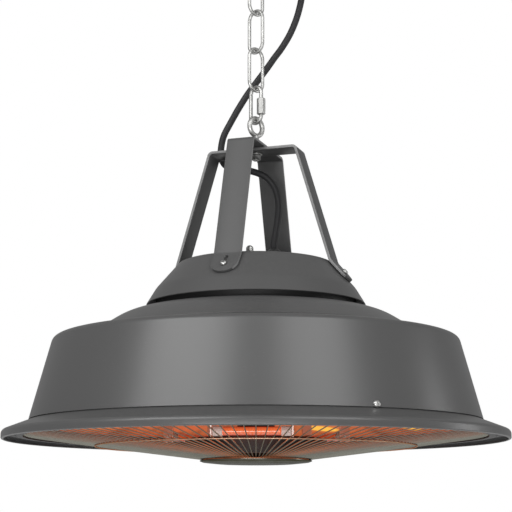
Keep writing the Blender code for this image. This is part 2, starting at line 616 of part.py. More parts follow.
def make_chain():
    """Long links, each turned a quarter against the next."""
    for index in range(LINK_COUNT):
        link_top = QUICK_PIVOT - LINK_WIRE / 2 + LINK_LENGTH + index * LINK_PITCH
        next_wire = HOOK_WIRE if index == LINK_COUNT - 1 else LINK_WIRE
        pivot = carried_above(link_top - LINK_WIRE, next_wire)
        turn = CHAIN_TURN if index % 2 == 0 else -CHAIN_TURN
        frame = empty(f"link_{index + 1}_pivot", (0, 0, pivot), turn, root)
        wire(f"link_{index + 1}", link_path(LINK_WIDTH, LINK_LENGTH, LINK_WIRE, link_top - pivot), LINK_WIRE, ZINC,
             frame, cyclic=True)


def make_ceiling_fixing():
    """The ceiling plate, the open hook in it and the grip that holds the cord's upper end."""
    seat_top = PLATE_BOTTOM + HOOK_SEAT
    seat_radius = HOOK_WIRE / 2 + GAP
    plate = turned("ceiling_plate", [(0, HANG_HEIGHT, 0), (PLATE_RADIUS, HANG_HEIGHT, 0),
                                     (PLATE_RADIUS, PLATE_BOTTOM, PLATE_ROUND), (seat_radius, PLATE_BOTTOM, 0),
                                     (seat_radius, seat_top, 0), (0, seat_top, 0)], ZINC, root)
    screw_places = [around(math.tau * index / PLATE_HOLE_COUNT - math.pi / 2) @ at(PLATE_HOLE_CIRCLE, 0, PLATE_BOTTOM)
                    for index in range(PLATE_HOLE_COUNT)]
    combine(plate, drills("plate_screw_holes", PLATE_HOLE_RADIUS, screw_places, root,
                          length=2 * PLATE_THICKNESS + OVERRUN))
    grip_hole = at(*GRIP_PLACE, PLATE_BOTTOM)
    combine(plate, drills("grip_hole", GLAND_STEM_RADIUS + GAP, [grip_hole], root,
                          length=2 * PLATE_THICKNESS + OVERRUN, steps=2 * SMALL_STEPS))
    gland("cord_grip", root, grip_hole @ Matrix.Rotation(math.pi, 4, "X"), PLATE_THICKNESS - GAP, 0)
    frame = empty("hook_frame", turn=-CHAIN_TURN, parent=root)
    ring_steps = math.ceil(HOOK_SWEEP / math.pi * WIRE_STEPS)
    ring = wire("hook_ring", arc(HOOK_RADIUS, HOOK_PIVOT + HOOK_RADIUS, math.pi / 2, -HOOK_SWEEP, ring_steps),
                HOOK_WIRE, None, frame)
    shank_bottom = HOOK_PIVOT + 2 * HOOK_RADIUS
    collar_top = PLATE_BOTTOM - GAP
    hook = turned("ceiling_hook", [(0, seat_top - GAP, 0), (HOOK_WIRE / 2, seat_top - GAP, 0),
                                   (HOOK_WIRE / 2, collar_top, 0), (HOOK_COLLAR_RADIUS, collar_top, 0),
                                   (HOOK_COLLAR_RADIUS, collar_top - HOOK_COLLAR_HEIGHT, 0),
                                   (HOOK_WIRE / 2, collar_top - HOOK_COLLAR_HEIGHT, 0),
                                   (HOOK_WIRE / 2, shank_bottom, 0), (0, shank_bottom, 0)], ZINC, frame,
                  steps=SMALL_STEPS)
    combine(hook, ring, "UNION")


def make_lamps():
    """Three quartz lamps, each held by its end pins in a bent bracket under the reflector."""
    bracket_top = REFLECTOR_HEIGHT - SHEET - GAP
    half_span = LAMP_LENGTH / 2 + GAP + LAMP_BRACKET_SHEET
    foot = LAMP_HEIGHT - LAMP_BRACKET_BELOW
    corners = [(-half_span, foot, 0), (-half_span, bracket_top, LAMP_BRACKET_BEND),
               (half_span, bracket_top, LAMP_BRACKET_BEND), (half_span, foot, 0)]
    end = LAMP_LENGTH / 2
    half = [(0, end + LAMP_PIN_LENGTH, 0), (LAMP_PIN_RADIUS, end + LAMP_PIN_LENGTH, 0), (LAMP_PIN_RADIUS, end, 0),
            (LAMP_CAP_RADIUS, end, 0), (LAMP_CAP_RADIUS, end - LAMP_CAP_LENGTH, 0),
            (LAMP_RADIUS, end - LAMP_CAP_LENGTH, 0)]
    profile = half + [(radius, -height, 0) for radius, height, _none in reversed(half)]
    for index in range(LAMP_COUNT):
        turn = LAMP_TURN + math.tau * index / LAMP_COUNT
        frame = empty(f"lamp_{index + 1}_frame", turn=turn, parent=root)
        place = at(0, -LAMP_CIRCLE, LAMP_HEIGHT) @ Matrix.Rotation(math.pi / 2, 4, "Y")
        turned(f"lamp_{index + 1}", profile, QUARTZ, frame, steps=SMALL_STEPS, place=place)
        bracket = bent_strip(f"lamp_bracket_{index + 1}", corners, LAMP_BRACKET_WIDTH, LAMP_BRACKET_SHEET, ALUMINIUM,
                             frame, place=at(0, -LAMP_CIRCLE, 0))
        combine(bracket, drills(f"lamp_pin_holes_{index + 1}", LAMP_PIN_RADIUS + GAP, [place], frame,
                                length=2 * (half_span + OVERRUN)))


def make_hub():
    """The black hub below the reflector, with the post that carries the grille's cap."""
    post_bottom = GRILLE_INNER_HEIGHT - GRILLE_WIRE / 2 - CAP_DEPTH
    under_reflector = REFLECTOR_HEIGHT - SHEET - GAP
    turned("centre_hub", [(0, under_reflector, 0), (HUB_NECK_RADIUS, under_reflector, 0), (HUB_NECK_RADIUS, HUB_TOP, 0),
                          (HUB_RADIUS, HUB_TOP, HUB_ROUND), (HUB_RADIUS, HUB_BOTTOM, 0),
                          (HUB_POST_RADIUS, HUB_BOTTOM, 0), (HUB_POST_RADIUS, post_bottom, 0),
                          (0, post_bottom, 0)], BLACK_PAINT, root, steps=TURN_STEPS // 2)


def make_grille():
    """Radial wires between two rings, built as one sector, spun round and thickened."""
    inner_edge = GRILLE_INNER_RADIUS - GRILLE_INNER_RING
    rows = [(GRILLE_RADIUS, GRILLE_HEIGHT), (GRILLE_RADIUS - GRILLE_RING, GRILLE_HEIGHT),
            (GRILLE_MID_RADIUS, GRILLE_MID_HEIGHT), (GRILLE_INNER_RADIUS, GRILLE_INNER_HEIGHT),
            (inner_edge, GRILLE_INNER_HEIGHT)]
    pitch = Matrix.Rotation(math.tau / GRILLE_WIRES, 4, "Z")
    half = GRILLE_WIRE / 2
    bm = bmesh.new()
    right = [bm.verts.new((math.sqrt(radius ** 2 - half ** 2), -half, height)) for radius, height in rows]
    left = [bm.verts.new((vert.co.x, half, vert.co.z)) for vert in right]
    for outer in range(len(rows) - 1):
        bm.faces.new((right[outer], left[outer], left[outer + 1], right[outer + 1]))
    for outer in (0, len(rows) - 2):
        far = [bm.verts.new(pitch @ right[row].co) for row in (outer, outer + 1)]
        bm.faces.new((left[outer], far[0], far[1], left[outer + 1]))
    sector = bm.verts[:] + bm.edges[:] + bm.faces[:]
    bmesh.ops.spin(bm, geom=sector, cent=(0, 0, 0), axis=(0, 0, 1), dvec=(0, 0, 0), use_duplicate=True,
                   angle=math.tau * (GRILLE_WIRES - 1) / GRILLE_WIRES, steps=GRILLE_WIRES - 1)
    bmesh.ops.remove_doubles(bm, verts=bm.verts[:], dist=0.01 * MM)
    mesh = bpy.data.meshes.new("grille")
    bm.to_mesh(mesh)
    bm.free()
    thicken(add_piece("grille", mesh, ZINC, root), GRILLE_WIRE, 0)


def make_grille_mounts():
    """The frame that carries the grille under the flange, its middle ring and the cap in its centre."""
    ledge_top = GRILLE_HEIGHT - GRILLE_WIRE / 2 - GAP
    frame_top = flange_underside(FRAME_RADIUS) - GAP
    turned("grille_frame", [(FRAME_RADIUS, frame_top, 0), (FRAME_RADIUS, ledge_top - SHEET, 0),
                            (FRAME_RADIUS - FRAME_LEDGE, ledge_top - SHEET, 0)], BLACK_PAINT, root, wall=SHEET)
    ring_top = GRILLE_MID_HEIGHT - GRILLE_WIRE / 2 - MID_RING_GAP
    half = GRILLE_WIRE / 2
    turned("grille_mid_ring", [(GRILLE_MID_RADIUS - half, ring_top, 0), (GRILLE_MID_RADIUS + half, ring_top, 0),
                               (GRILLE_MID_RADIUS + half, ring_top - GRILLE_WIRE, 0),
                               (GRILLE_MID_RADIUS - half, ring_top - GRILLE_WIRE, 0)], ZINC, root, closed=True)
    rim_height = GRILLE_INNER_HEIGHT - half - GAP - SHEET
    turned("grille_cap", [(CAP_RADIUS, rim_height, 0), (CAP_FACE_RADIUS, rim_height - CAP_DEPTH, CAP_ROUND),
                          (0, rim_height - CAP_DEPTH, 0)], ZINC, root, wall=SHEET, steps=TURN_STEPS // 2)


def smooth_route(route, steps=8):
    """Points along a smooth curve through every point of a route."""
    points = [Vector(point) for point in route]
    ends = [2 * points[0] - points[1]] + points + [2 * points[-1] - points[-2]]
    curve = []
    for before, here, there, after in zip(ends, ends[1:], ends[2:], ends[3:]):
        for step in range(steps):
            share = step / steps
            bend = 2 * before - 5 * here + 4 * there - after
            twist = 3 * here - before - 3 * there + after
            curve.append(here + ((there - before) * share + bend * share ** 2 + twist * share ** 3) / 2)
    return curve + [points[-1]]


def point_at(curve, distance):
    """The point at a distance along a curve."""
    for here, there in zip(curve, curve[1:]):
        step = (there - here).length
        if distance <= step:
            return here.lerp(there, distance / step)
        distance -= step
    return curve[-1]


def distance_at(curve, height):
    """The distance along a climbing curve at which it passes a height."""
    walked = 0
    for here, there in zip(curve, curve[1:]):
        if there.z >= height:
            return walked + (there - here).length * (height - here.z) / (there.z - here.z)
        walked += (there - here).length
    return walked


def make_cord():
    """The free cord from the gland to the grip, in one stretch for each piece of the chain beside it."""
    start = Vector((*GLAND_PLACE, DOME_TOP + GLAND_HEIGHT + GAP))
    lead = Vector((0, 0, 2 * CORD_RADIUS))
    end = Vector((*GRIP_PLACE, PLATE_BOTTOM - GLAND_HEIGHT - GAP))
    curve = smooth_route([start + lead] + CORD_ROUTE + [end - lead])
    pivots = [HEATER_PIVOT, QUICK_PIVOT, QUICK_PIVOT + LINK_PITCH, QUICK_PIVOT + 2 * LINK_PITCH, HOOK_PIVOT]
    cuts = [2 * HEATER_PIVOT - (HEATER_PIVOT + QUICK_PIVOT) / 2]
    cuts += [(low + high) / 2 for low, high in zip(pivots, pivots[1:])]
    places = [0] + [distance_at(curve, height) for height in cuts] + [distance_at(curve, end.z - lead.z)]
    for index, (low, high) in enumerate(zip(places, places[1:])):
        low += GAP / 2 if index else 0
        high -= GAP / 2 if index < len(places) - 2 else 0
        square = CORD_RADIUS / 2
        count = math.ceil((high - low) / CORD_STEP)
        inner = [low + square + (high - low - 2 * square) * step / count for step in range(count + 1)]
        points = [point_at(curve, walked) for walked in [low] + inner + [high]]
        if index == 0:
            points[0] = start
        if index == len(places) - 2:
            points[-1] = end
        wire(f"cord_{index + 1}", points, 2 * CORD_RADIUS, RUBBER, root)


def settle():
    """Apply every modifier and shade the round faces smooth."""
    graph = bpy.context.evaluated_depsgraph_get()
    meshes = {piece: bpy.data.meshes.new_from_object(piece.evaluated_get(graph))
              for piece in heater_collection.objects if piece.type == "MESH"}
    for piece, mesh in meshes.items():
        piece.modifiers.clear()
        piece.data = mesh
        mesh.shade_smooth()
        mesh.set_sharp_from_angle(angle=math.radians(35))


make_shade()
make_dome()
make_eye()
make_quick_link()
make_chain()
make_ceiling_fixing()
make_lamps()
make_hub()
make_grille()
make_grille_mounts()
make_cord()
settle()
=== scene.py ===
"""Hanging patio heater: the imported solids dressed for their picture.

Metres, +Z up, and the origin is the middle of the ceiling plate's top face. Shapes are given in millimetres,
and level() takes millimetres above the bottom edge of the heater's rim. The front of the heater is -Y.
"""
import math

import bpy
from mathutils import Matrix, Vector


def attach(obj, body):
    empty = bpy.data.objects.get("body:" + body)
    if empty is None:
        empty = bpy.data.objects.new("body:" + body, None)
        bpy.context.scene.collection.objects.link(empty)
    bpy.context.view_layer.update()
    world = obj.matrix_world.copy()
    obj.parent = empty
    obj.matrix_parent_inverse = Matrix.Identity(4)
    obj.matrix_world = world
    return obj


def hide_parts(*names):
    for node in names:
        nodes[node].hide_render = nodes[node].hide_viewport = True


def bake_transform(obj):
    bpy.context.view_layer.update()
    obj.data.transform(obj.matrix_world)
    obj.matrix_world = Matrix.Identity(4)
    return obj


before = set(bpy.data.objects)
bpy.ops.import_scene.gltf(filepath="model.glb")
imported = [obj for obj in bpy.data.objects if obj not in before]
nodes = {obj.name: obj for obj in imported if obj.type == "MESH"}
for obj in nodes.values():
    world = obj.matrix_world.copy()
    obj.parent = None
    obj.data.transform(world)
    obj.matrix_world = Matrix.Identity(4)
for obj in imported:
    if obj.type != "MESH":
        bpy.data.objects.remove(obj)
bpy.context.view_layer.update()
scene = bpy.context.scene

MM = 0.001
RIM_EDGE = -0.5603120637    # the rim's bottom edge
CLEAR = 0.3                 # clearance between neighbouring pieces, in millimetres
SHEET = 1.2                 # sheet metal of the shade, in millimetres


def level(height):
    """The frame's height of what lies so many millimetres above the rim's bottom edge."""
    return RIM_EDGE + height * MM


def mode(name):
    """Put the active object in a mode."""
    bpy.ops.object.mode_set(mode=name)


def let_go():
    """Leave edit mode with nothing selected."""
    if bpy.context.mode != "OBJECT":
        mode("OBJECT")
    bpy.ops.object.select_all(action="DESELECT")


def smooth_below(degrees):
    """Shade the active piece smooth, except across edges sharper than an angle."""
    bpy.ops.object.shade_smooth_by_angle(angle=math.radians(degrees))


def welded(gap, smooth):
    """Join the active mesh's corners within a gap, turn its faces outward and shade it."""
    mode("EDIT")
    bpy.ops.mesh.select_all(action="SELECT")
    bpy.ops.mesh.remove_doubles(threshold=gap * MM)
    bpy.ops.mesh.normals_make_consistent(inside=False)
    mode("OBJECT")
    smooth_below(smooth)


# The camera of the photograph, from slightly below the rim
let_go()
bpy.ops.object.camera_add(location=(0, -1.5, level(-78.8)), rotation=(math.radians(100.53), 0, 0))
camera = bpy.context.object
camera.name = "photo_camera"
camera.data.lens = 98.54
camera.data.sensor_width = 36
scene.camera = camera

# The free cord: it leaves the gland, rounds the bracket behind its left side and climbs beside the chain.
# Its route is in millimetres from the origin.
CORD_DIAMETER = 0.0075
CORD_ROUTE = [
    (20, 20, -349.683), (20, 20, -342.183), (22.5, 20, -326.312), (24.8, 19, -307.312),
    (24.5, 17.8, -294.312), (20.7, 16, -280.812), (12.5, 14, -270.312), (3, 13, -264.812),
    (-9, 15, -260.812), (-24, 23.5, -256.312), (-35, 33.5, -249.812), (-39.5, 38, -238.812),
    (-39.2, 38.5, -226.312), (-36.2, 37.2, -214.312), (-29.5, 35.7, -201.312), (-20.3, 34, -184.812),
    (-10, 32, -168.312), (0.5, 31, -153.812), (11.6, 30, -138.812), (20.8, 30, -125.312),
    (29.7, 30, -112.812), (39.2, 29.2, -96.312), (46.8, 28, -77.312), (51.8, 26.8, -57.312),
    (53.7, 26.2, -40.312), (54, 26, -31.8), (54, 26, -24.3),
]
CORD_CUTS = (-0.1921, -0.1513, -0.1125, -0.0700)
# Each stretch: name, body below, body above, two heights for a bend, solids that it stands for. The bodies
# and heights are not read here.
CORD_STRETCHES = [
    ("cord_from_gland", "heater", "quick_link", -0.2292, -0.1921, ("cord_1", "cord_2")),
    ("cord_by_quick_link", "quick_link", "link_1", -0.1921, -0.1513, ("cord_3",)),
    ("cord_by_lower_link", "link_1", "link_2", -0.1513, -0.1125, ("cord_4",)),
    ("cord_by_middle_link", "link_2", "link_3", -0.1125, -0.0700, ("cord_5",)),
    ("cord_to_grip", "link_3", "ceiling_fixing", -0.0700, -0.0300, ("cord_6",)),
]


def smooth_route(route, steps):
    """Points along a smooth curve through every point of a route in millimetres."""
    points = [Vector([part * MM for part in point]) for point in route]
    ends = [2 * points[0] - points[1]] + points + [2 * points[-1] - points[-2]]
    curve = []
    for before, here, there, after in zip(ends, ends[1:], ends[2:], ends[3:]):
        for step in range(steps):
            share = step / steps
            bend = 2 * before - 5 * here + 4 * there - after
            twist = 3 * here - before - 3 * there + after
            curve.append(here + ((there - before) * share + bend * share ** 2 + twist * share ** 3) / 2)
    return curve + [points[-1]]


def round_wire(name, points, diameter, closed=False, sides=3):
    """A round wire along points, drawn as a curve and made a mesh. sides is the bevel's resolution."""
    let_go()
    bpy.ops.curve.primitive_nurbs_path_add(location=(0, 0, 0))
    piece = bpy.context.object
    piece.name = name
    curve = piece.data
    curve.dimensions = "3D"
    curve.twist_mode = "MINIMUM"
    curve.splines.clear()
    spline = curve.splines.new("POLY")
    spline.points.add(len(points) - 1)
    for target, point in zip(spline.points, points):
        target.co = (*point, 1)
    spline.use_cyclic_u = closed
    curve.bevel_depth = diameter / 2
    curve.bevel_resolution = sides
    curve.use_fill_caps = not closed
    bpy.ops.object.convert(target="MESH")
    piece = bpy.context.object
    piece.data.name = name
    welded(0.01, 40)
    return piece


def split_route(curve, cuts):
    """The curve in stretches that meet where it climbs past each cut's height."""
    stretches, rest = [], list(curve)
    for height in cuts:
        for index, (here, there) in enumerate(zip(rest, rest[1:])):
            if here.z <= height < there.z:
                break
        meeting = here.lerp(there, (height - here.z) / (there.z - here.z))
        stretches.append(rest[:index + 1] + [meeting])
        rest = [meeting] + rest[index + 1:]
    return stretches + [rest]


cord_pieces = []
for stretch, points in zip(CORD_STRETCHES, split_route(smooth_route(CORD_ROUTE, 6), CORD_CUTS)):
    name, lower_body, upper_body, bend_start, bend_end, cad_cords = stretch
    piece = round_wire(name, points, CORD_DIAMETER, sides=5)
    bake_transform(piece)
    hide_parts(*cad_cords)
    length = sum((there - here).length for here, there in zip(points, points[1:]))
    cord_pieces.append(piece)


# Floor and lights
let_go()
bpy.ops.mesh.primitive_plane_add(size=14, location=(0, 0, -2.2))
floor = bpy.context.object
floor.name = "studio_floor"

LIGHT_AIM = Vector((0, 0, -0.40))
# Each light: name, degrees from the front toward the right, height, distance, width, length, watts
SOFT_LIGHTS = [
    ("left_softbox", -39, 1.10, 2.2, 2.0, 1.5, 50),
    ("right_softbox", 33, 1.10, 2.2, 1.6, 1.5, 32),
    ("front_fill", -6, -1.00, 2.6, 2.2, 0.6, 46),
    ("right_edge", 98, -0.30, 2.4, 0.5, 1.4, 10),
]
for name, degrees, height, distance, width, length, watts in SOFT_LIGHTS:
    let_go()
    turn = math.radians(degrees)
    place = Vector((distance * math.sin(turn), -distance * math.cos(turn), height))
    facing = (LIGHT_AIM - place).to_track_quat("-Z", "Y").to_euler()
    bpy.ops.object.light_add(type="AREA", location=place, rotation=facing)
    lamp = bpy.context.object
    lamp.name = name
    lamp.data.shape = "RECTANGLE"
    lamp.data.size = width
    lamp.data.size_y = length
    lamp.data.energy = watts


# Shader nodes
def feed(tree, sockets, sources):
    """Feed sockets, by name or number, with links, numbers, vectors or colours without their alpha."""
    for key, source in dict(sources).items():
        socket = sockets[key]
        if isinstance(source, (int, float)):
            socket.default_value = source
        elif isinstance(source, tuple):
            socket.default_value = (*source, 1) if len(socket.default_value) == 4 else source
        else:
            tree.links.new(source, socket)


def wired(tree, kind, sources=(), **settings):
    """A shader node with its settings and what feeds its sockets."""
    node = tree.nodes.new("ShaderNode" + kind)
    for key, value in settings.items():
        setattr(node, key, value)
    feed(tree, node.inputs, sources)
    return node


def maths(tree, operation, *sources, clamp=False):
    """A maths node's result."""
    return wired(tree, "Math", enumerate(sources), operation=operation, use_clamp=clamp).outputs[0]


def product(tree, *parts):
    """The parts multiplied, and held between 0 and 1 at the end."""
    result = parts[0]
    for part in parts[1:]:
        result = maths(tree, "MULTIPLY", result, part, clamp=part is parts[-1])
    return result


def swing(tree, value, amount):
    """How far a value is from 0.5, times an amount."""
    return maths(tree, "MULTIPLY", maths(tree, "SUBTRACT", value, 0.5), amount)


def vector_maths(tree, operation, *sources, result=0):
    """A vector maths node's result, which is output 1 where it is a number."""
    return wired(tree, "VectorMath", enumerate(sources), operation=operation).outputs[result]


def times(tree, colour, factor):
    """A plain colour multiplied by a varying shade."""
    return wired(tree, "VectorMath", {0: colour, "Scale": factor}, operation="SCALE").outputs[0]


def mixed(tree, share, first, second):
    """A mix of two colours."""
    return wired(tree, "Mix", {0: share, 6: first, 7: second}, data_type="RGBA").outputs[2]


def parted(tree, vector):
    """A vector's three parts."""
    return wired(tree, "SeparateXYZ", {0: vector}).outputs


def ramped(tree, source, *stops):
    """A colour ramp over (place, grey level) stops, for a mask."""
    node = wired(tree, "ValToRGB", {0: source})
    for element, (place, grey_level) in zip(node.color_ramp.elements, stops):
        element.position = place
        element.color = (*grey(grey_level), 1)
    return node.outputs[0]


def noise(tree, vector, scale, detail=2.0, roughness=0.5):
    """A noise texture's value over a vector."""
    sources = {"Vector": vector, "Scale": scale, "Detail": detail, "Roughness": roughness}
    return wired(tree, "TexNoise", sources).outputs["Fac"]


def grey(part):
    """A grey colour."""
    return (part, part, part)


# Background: white to the camera and a soft grey level to everything else
SEEN_WHITE = 1.0
SOFT_LEVEL = 0.33
world = bpy.data.worlds.new("studio_world")
world.use_nodes = True
scene.world = world
sky = world.node_tree
sky.nodes.clear()
plain = wired(sky, "Background", {"Color": grey(1), "Strength": SOFT_LEVEL})
white = wired(sky, "Background", {"Color": grey(1), "Strength": SEEN_WHITE})
camera_ray = wired(sky, "LightPath").outputs["Is Camera Ray"]
either = wired(sky, "MixShader", {0: camera_ray, 1: plain.outputs[0], 2: white.outputs[0]})
wired(sky, "OutputWorld", {"Surface": either.outputs[0]})


# Shader groups that several finishes share
def labelled(values):
    """Socket names instead of keywords."""
    return {word.replace("_", " ").title(): value for word, value in values.items()}


def new_group(name, **inputs):
    """A shader group that reads a vector and numbers, with the sockets it reads them from."""
    group = bpy.data.node_groups.new(name, "ShaderNodeTree")
    group.interface.new_socket("Vector", in_out="INPUT", socket_type="NodeSocketVector")
    for label, default in labelled(inputs).items():
        made = group.interface.new_socket(label, in_out="INPUT", socket_type="NodeSocketFloat")
        made.default_value = default
    ins = group.nodes.new("NodeGroupInput").outputs
    return group, ins, ins["Vector"]


def gives(group, **results):
    """Make a group's outputs and feed them."""
    for label in labelled(results):
        group.interface.new_socket(label, in_out="OUTPUT", socket_type="NodeSocketFloat")
    feed(group, group.nodes.new("NodeGroupOutput").inputs, labelled(results))
    return group


def placed(tree, group, vector, **values):
    """A group in a material's tree, with its own values."""
    return wired(tree, "Group", {"Vector": vector, **labelled(values)}, node_tree=group).outputs


def make_powder_grain():
    """Powder paint: a fine grain, a slow cloud of lighter and darker paint, and a dust that lies on top."""
    group, ins, vector = new_group("powder_grain", grain_scale=1500.0, cloud_scale=9.0, cloud_amount=0.04,
                                   dust_amount=0.2)
    grain = noise(group, vector, ins["Grain Scale"], 1.0)
    cloud = noise(group, vector, ins["Cloud Scale"], 3.0, 0.6)
    change = maths(group, "ADD", swing(group, cloud, ins["Cloud Amount"]), swing(group, grain, 0.10))
    facing = parted(group, wired(group, "NewGeometry").outputs["Normal"])
    lying = maths(group, "MULTIPLY_ADD", facing["Z"], 2.0, -1.0, clamp=True)
    specks = ramped(group, noise(group, vector, 260.0, 4.0, 0.7), (0.45, 0.0), (0.75, 1.0))
    dust = product(group, lying, specks, ins["Dust Amount"])
    return gives(group, shade=maths(group, "ADD", 1.0, change), dust=dust,
                 gloss_change=swing(group, cloud, 0.05), height=grain)


def make_light_scuffs():
    """Sparse small scuffs in the paint, which come in patches."""
    group, ins, vector = new_group("light_scuffs", scuff_scale=420.0, amount=0.3)
    marks = ramped(group, noise(group, vector, ins["Scuff Scale"], 3.0, 0.6), (0.64, 0.0), (0.74, 1.0))
    patches = ramped(group, noise(group, vector, 14.0), (0.48, 0.0), (0.70, 1.0))
    return gives(group, wear=product(group, marks, patches, ins["Amount"]))


def make_drawn_steel():
    """Plated or drawn metal: a fine grain, a spangle of slightly different greys, and dull spots."""
    group, ins, vector = new_group("drawn_steel", line_scale=900.0, spangle_scale=160.0, dullness=0.3)
    lines = noise(group, vector, ins["Line Scale"], 2.0, 0.6)
    cells = wired(group, "TexVoronoi", {"Vector": vector, "Scale": ins["Spangle Scale"]})
    spangle = wired(group, "SeparateColor", {0: cells.outputs["Color"]}).outputs[0]
    change = maths(group, "ADD", swing(group, spangle, 0.06), swing(group, lines, 0.10))
    spots = ramped(group, noise(group, vector, 70.0, 4.0, 0.7), (0.45, 0.0), (0.80, 1.0))
    return gives(group, shade=maths(group, "ADD", 1.0, change),
                 dull=maths(group, "MULTIPLY", spots, ins["Dullness"]), height=lines)


LAMP_TURNS = (-2.7, 117.3, 237.3)   # the lamps' places about the axis, in degrees from the front
LAMP_RADIUS = 85                    # their distance from the axis, in millimetres
LAMP_HEIGHT = 5.5                   # their height above the rim's edge, in millimetres


def make_painted_lamp_glow():
    """Painted lamp light: a mask for the lamps' red light painted on the metal near them, strong beside a
    lamp, fading further out, in streaks.
    """
    group, ins, vector = new_group("painted_lamp_glow", reach=0.12, streak_scale=9.0, streaks=0.5)
    nearest = None
    for degrees in LAMP_TURNS:
        turn = math.radians(degrees - 90)
        lamp_at = (LAMP_RADIUS * MM * math.cos(turn), LAMP_RADIUS * MM * math.sin(turn), level(LAMP_HEIGHT))
        away = vector_maths(group, "DISTANCE", vector, lamp_at, result=1)
        nearest = away if nearest is None else maths(group, "MINIMUM", nearest, away)
    share = maths(group, "DIVIDE", nearest, ins["Reach"])
    square = maths(group, "MULTIPLY", share, share)
    fade = maths(group, "POWER", 2.718, maths(group, "MULTIPLY", square, -1.0))
    place = parted(group, vector)
    turned = maths(group, "MULTIPLY", maths(group, "ARCTAN2", place["Y"], place["X"]), ins["Streak Scale"])
    spokes = wired(group, "CombineXYZ", {"X": turned, "Y": maths(group, "MULTIPLY", nearest, 9.0)})
    change = swing(group, noise(group, spokes.outputs[0], 1.0, 3.0, 0.6), ins["Streaks"])
    glow = product(group, fade, maths(group, "ADD", 1.0, change))
    return gives(group, glow=glow, heat=maths(group, "MULTIPLY", glow, fade))


POWDER_GRAIN = make_powder_grain()
LIGHT_SCUFFS = make_light_scuffs()
DRAWN_STEEL = make_drawn_steel()
# Painted lamp light, for the metal round the lamps
PAINTED_LAMP_GLOW = make_painted_lamp_glow()


# Finishes
def parts_of(made):
    """A material's tree, its shader's sockets and the object's own coordinates."""
    tree = made.node_tree
    vector = next(node for node in tree.nodes if node.type == "TEX_COORD").outputs["Object"]
    return tree, tree.nodes["Principled BSDF"].inputs, vector


def new_finish(name):
    """A new material and its parts."""
    made = bpy.data.materials.new(name)
    made.use_nodes = True
    wired(made.node_tree, "TexCoord")
    return (made, *parts_of(made))


def bumped(tree, height, strength, distance=0.0002):
    """A normal from a height."""
    return wired(tree, "Bump", {"Strength": strength, "Distance": distance, "Height": height}).outputs[0]


PAINT_DUST = (0.28, 0.27, 0.25)
LIGHT_DUST = (0.35, 0.34, 0.32)


def powder_paint(name, colour, worn, roughness, specular, dust, wear):
    """Powder paint on sheet metal, lightly scuffed, with dust where it lies level."""
    made, tree, shader, vector = new_finish(name)
    powder = placed(tree, POWDER_GRAIN, vector, dust_amount=dust)
    scuffs = placed(tree, LIGHT_SCUFFS, vector, amount=wear)
    dusty = mixed(tree, powder["Dust"], times(tree, colour, powder["Shade"]), PAINT_DUST)
    rough = maths(tree, "ADD", powder["Gloss Change"], roughness)
    feed(tree, shader, {"Base Color": mixed(tree, scuffs["Wear"], dusty, worn),
                        "Roughness": maths(tree, "MULTIPLY_ADD", powder["Dust"], 0.3, rough, clamp=True),
                        "Specular IOR Level": specular, "Normal": bumped(tree, powder["Height"], 0.18)})
    return made


def bright_metal(name, colour, roughness, dullness, line_scale=900.0, spangle=160.0, bump=0.00001):
    """Plated or polished metal with a fine grain and dull spots."""
    made, tree, shader, vector = new_finish(name)
    steel = placed(tree, DRAWN_STEEL, vector, line_scale=line_scale, spangle_scale=spangle, dullness=dullness)
    bright = times(tree, colour, steel["Shade"])
    darker = tuple(part * 0.55 for part in colour)
    feed(tree, shader, {"Base Color": mixed(tree, steel["Dull"], bright, darker), "Metallic": 1.0,
                        "Roughness": maths(tree, "MULTIPLY_ADD", steel["Dull"], 0.5, roughness, clamp=True),
                        "Normal": bumped(tree, steel["Height"], 0.3, bump)})
    return made


def plain_dielectric(name, colour, roughness, cloud, cloud_scale, bump, grain_scale):
    """Plastic, rubber, ceramic or paint with slow variation, a fine grain and slightly uneven gloss."""
    made, tree, shader, vector = new_finish(name)
    powder = placed(tree, POWDER_GRAIN, vector, grain_scale=grain_scale, cloud_scale=cloud_scale,
                    cloud_amount=cloud, dust_amount=0.08)
    body = times(tree, colour, powder["Shade"])
    feed(tree, shader, {"Base Color": mixed(tree, powder["Dust"], body, LIGHT_DUST),
                        "Roughness": maths(tree, "ADD", powder["Gloss Change"], roughness),
                        "Normal": bumped(tree, powder["Height"], bump)})
    return made


def lighten_side_faces(made, colour):
    """Lighten the marked faces, the straps' thin side faces, unevenly."""
    tree, shader, vector = parts_of(made)
    mark = wired(tree, "Attribute", attribute_name="strap_side").outputs["Fac"]
    uneven = maths(tree, "MULTIPLY_ADD", noise(tree, vector, 60.0, 3.0), 0.8, 0.4)
    under = shader["Base Color"].links[0].from_socket
    feed(tree, shader, {"Base Color": mixed(tree, product(tree, mark, uneven), under, colour)})


def paint_lamp_light(made, reach, deep, hot, streaks, from_above=False):
    """Paint the lamps' light onto a finish as emission, from a deep colour to a hot one."""
    tree, shader, vector = parts_of(made)
    glow = placed(tree, PAINTED_LAMP_GLOW, vector, reach=reach, streaks=streaks)
    share = glow["Glow"]
    if from_above:
        # On the wires the painted lamp light falls only on the faces that turn up towards the lamps
        up = parted(tree, wired(tree, "NewGeometry").outputs["Normal"])["Z"]
        raised = ramped(tree, maths(tree, "MULTIPLY_ADD", up, 0.5, 0.5), (0.42, 0.0), (0.80, 1.0))
        share = maths(tree, "MULTIPLY", share, raised)
    lit = mixed(tree, share, grey(0.0), mixed(tree, glow["Heat"], deep, hot))
    feed(tree, shader, {"Emission Color": lit, "Emission Strength": 1.0})


def soft_patch(tree, vector, middle, half, edge):
    """A mask that is 1 inside an ellipsoid given in millimetres, and fades out over its edge share."""
    across, along, height = middle
    shifted = vector_maths(tree, "SUBTRACT", vector, (across * MM, along * MM, level(height)))
    shares = vector_maths(tree, "DIVIDE", shifted, tuple(part * MM for part in half))
    reach = vector_maths(tree, "LENGTH", shares, result=1)
    return ramped(tree, maths(tree, "MULTIPLY", reach, 0.5), (0.5 * (1 - edge), 1.0), (0.5, 0.0))
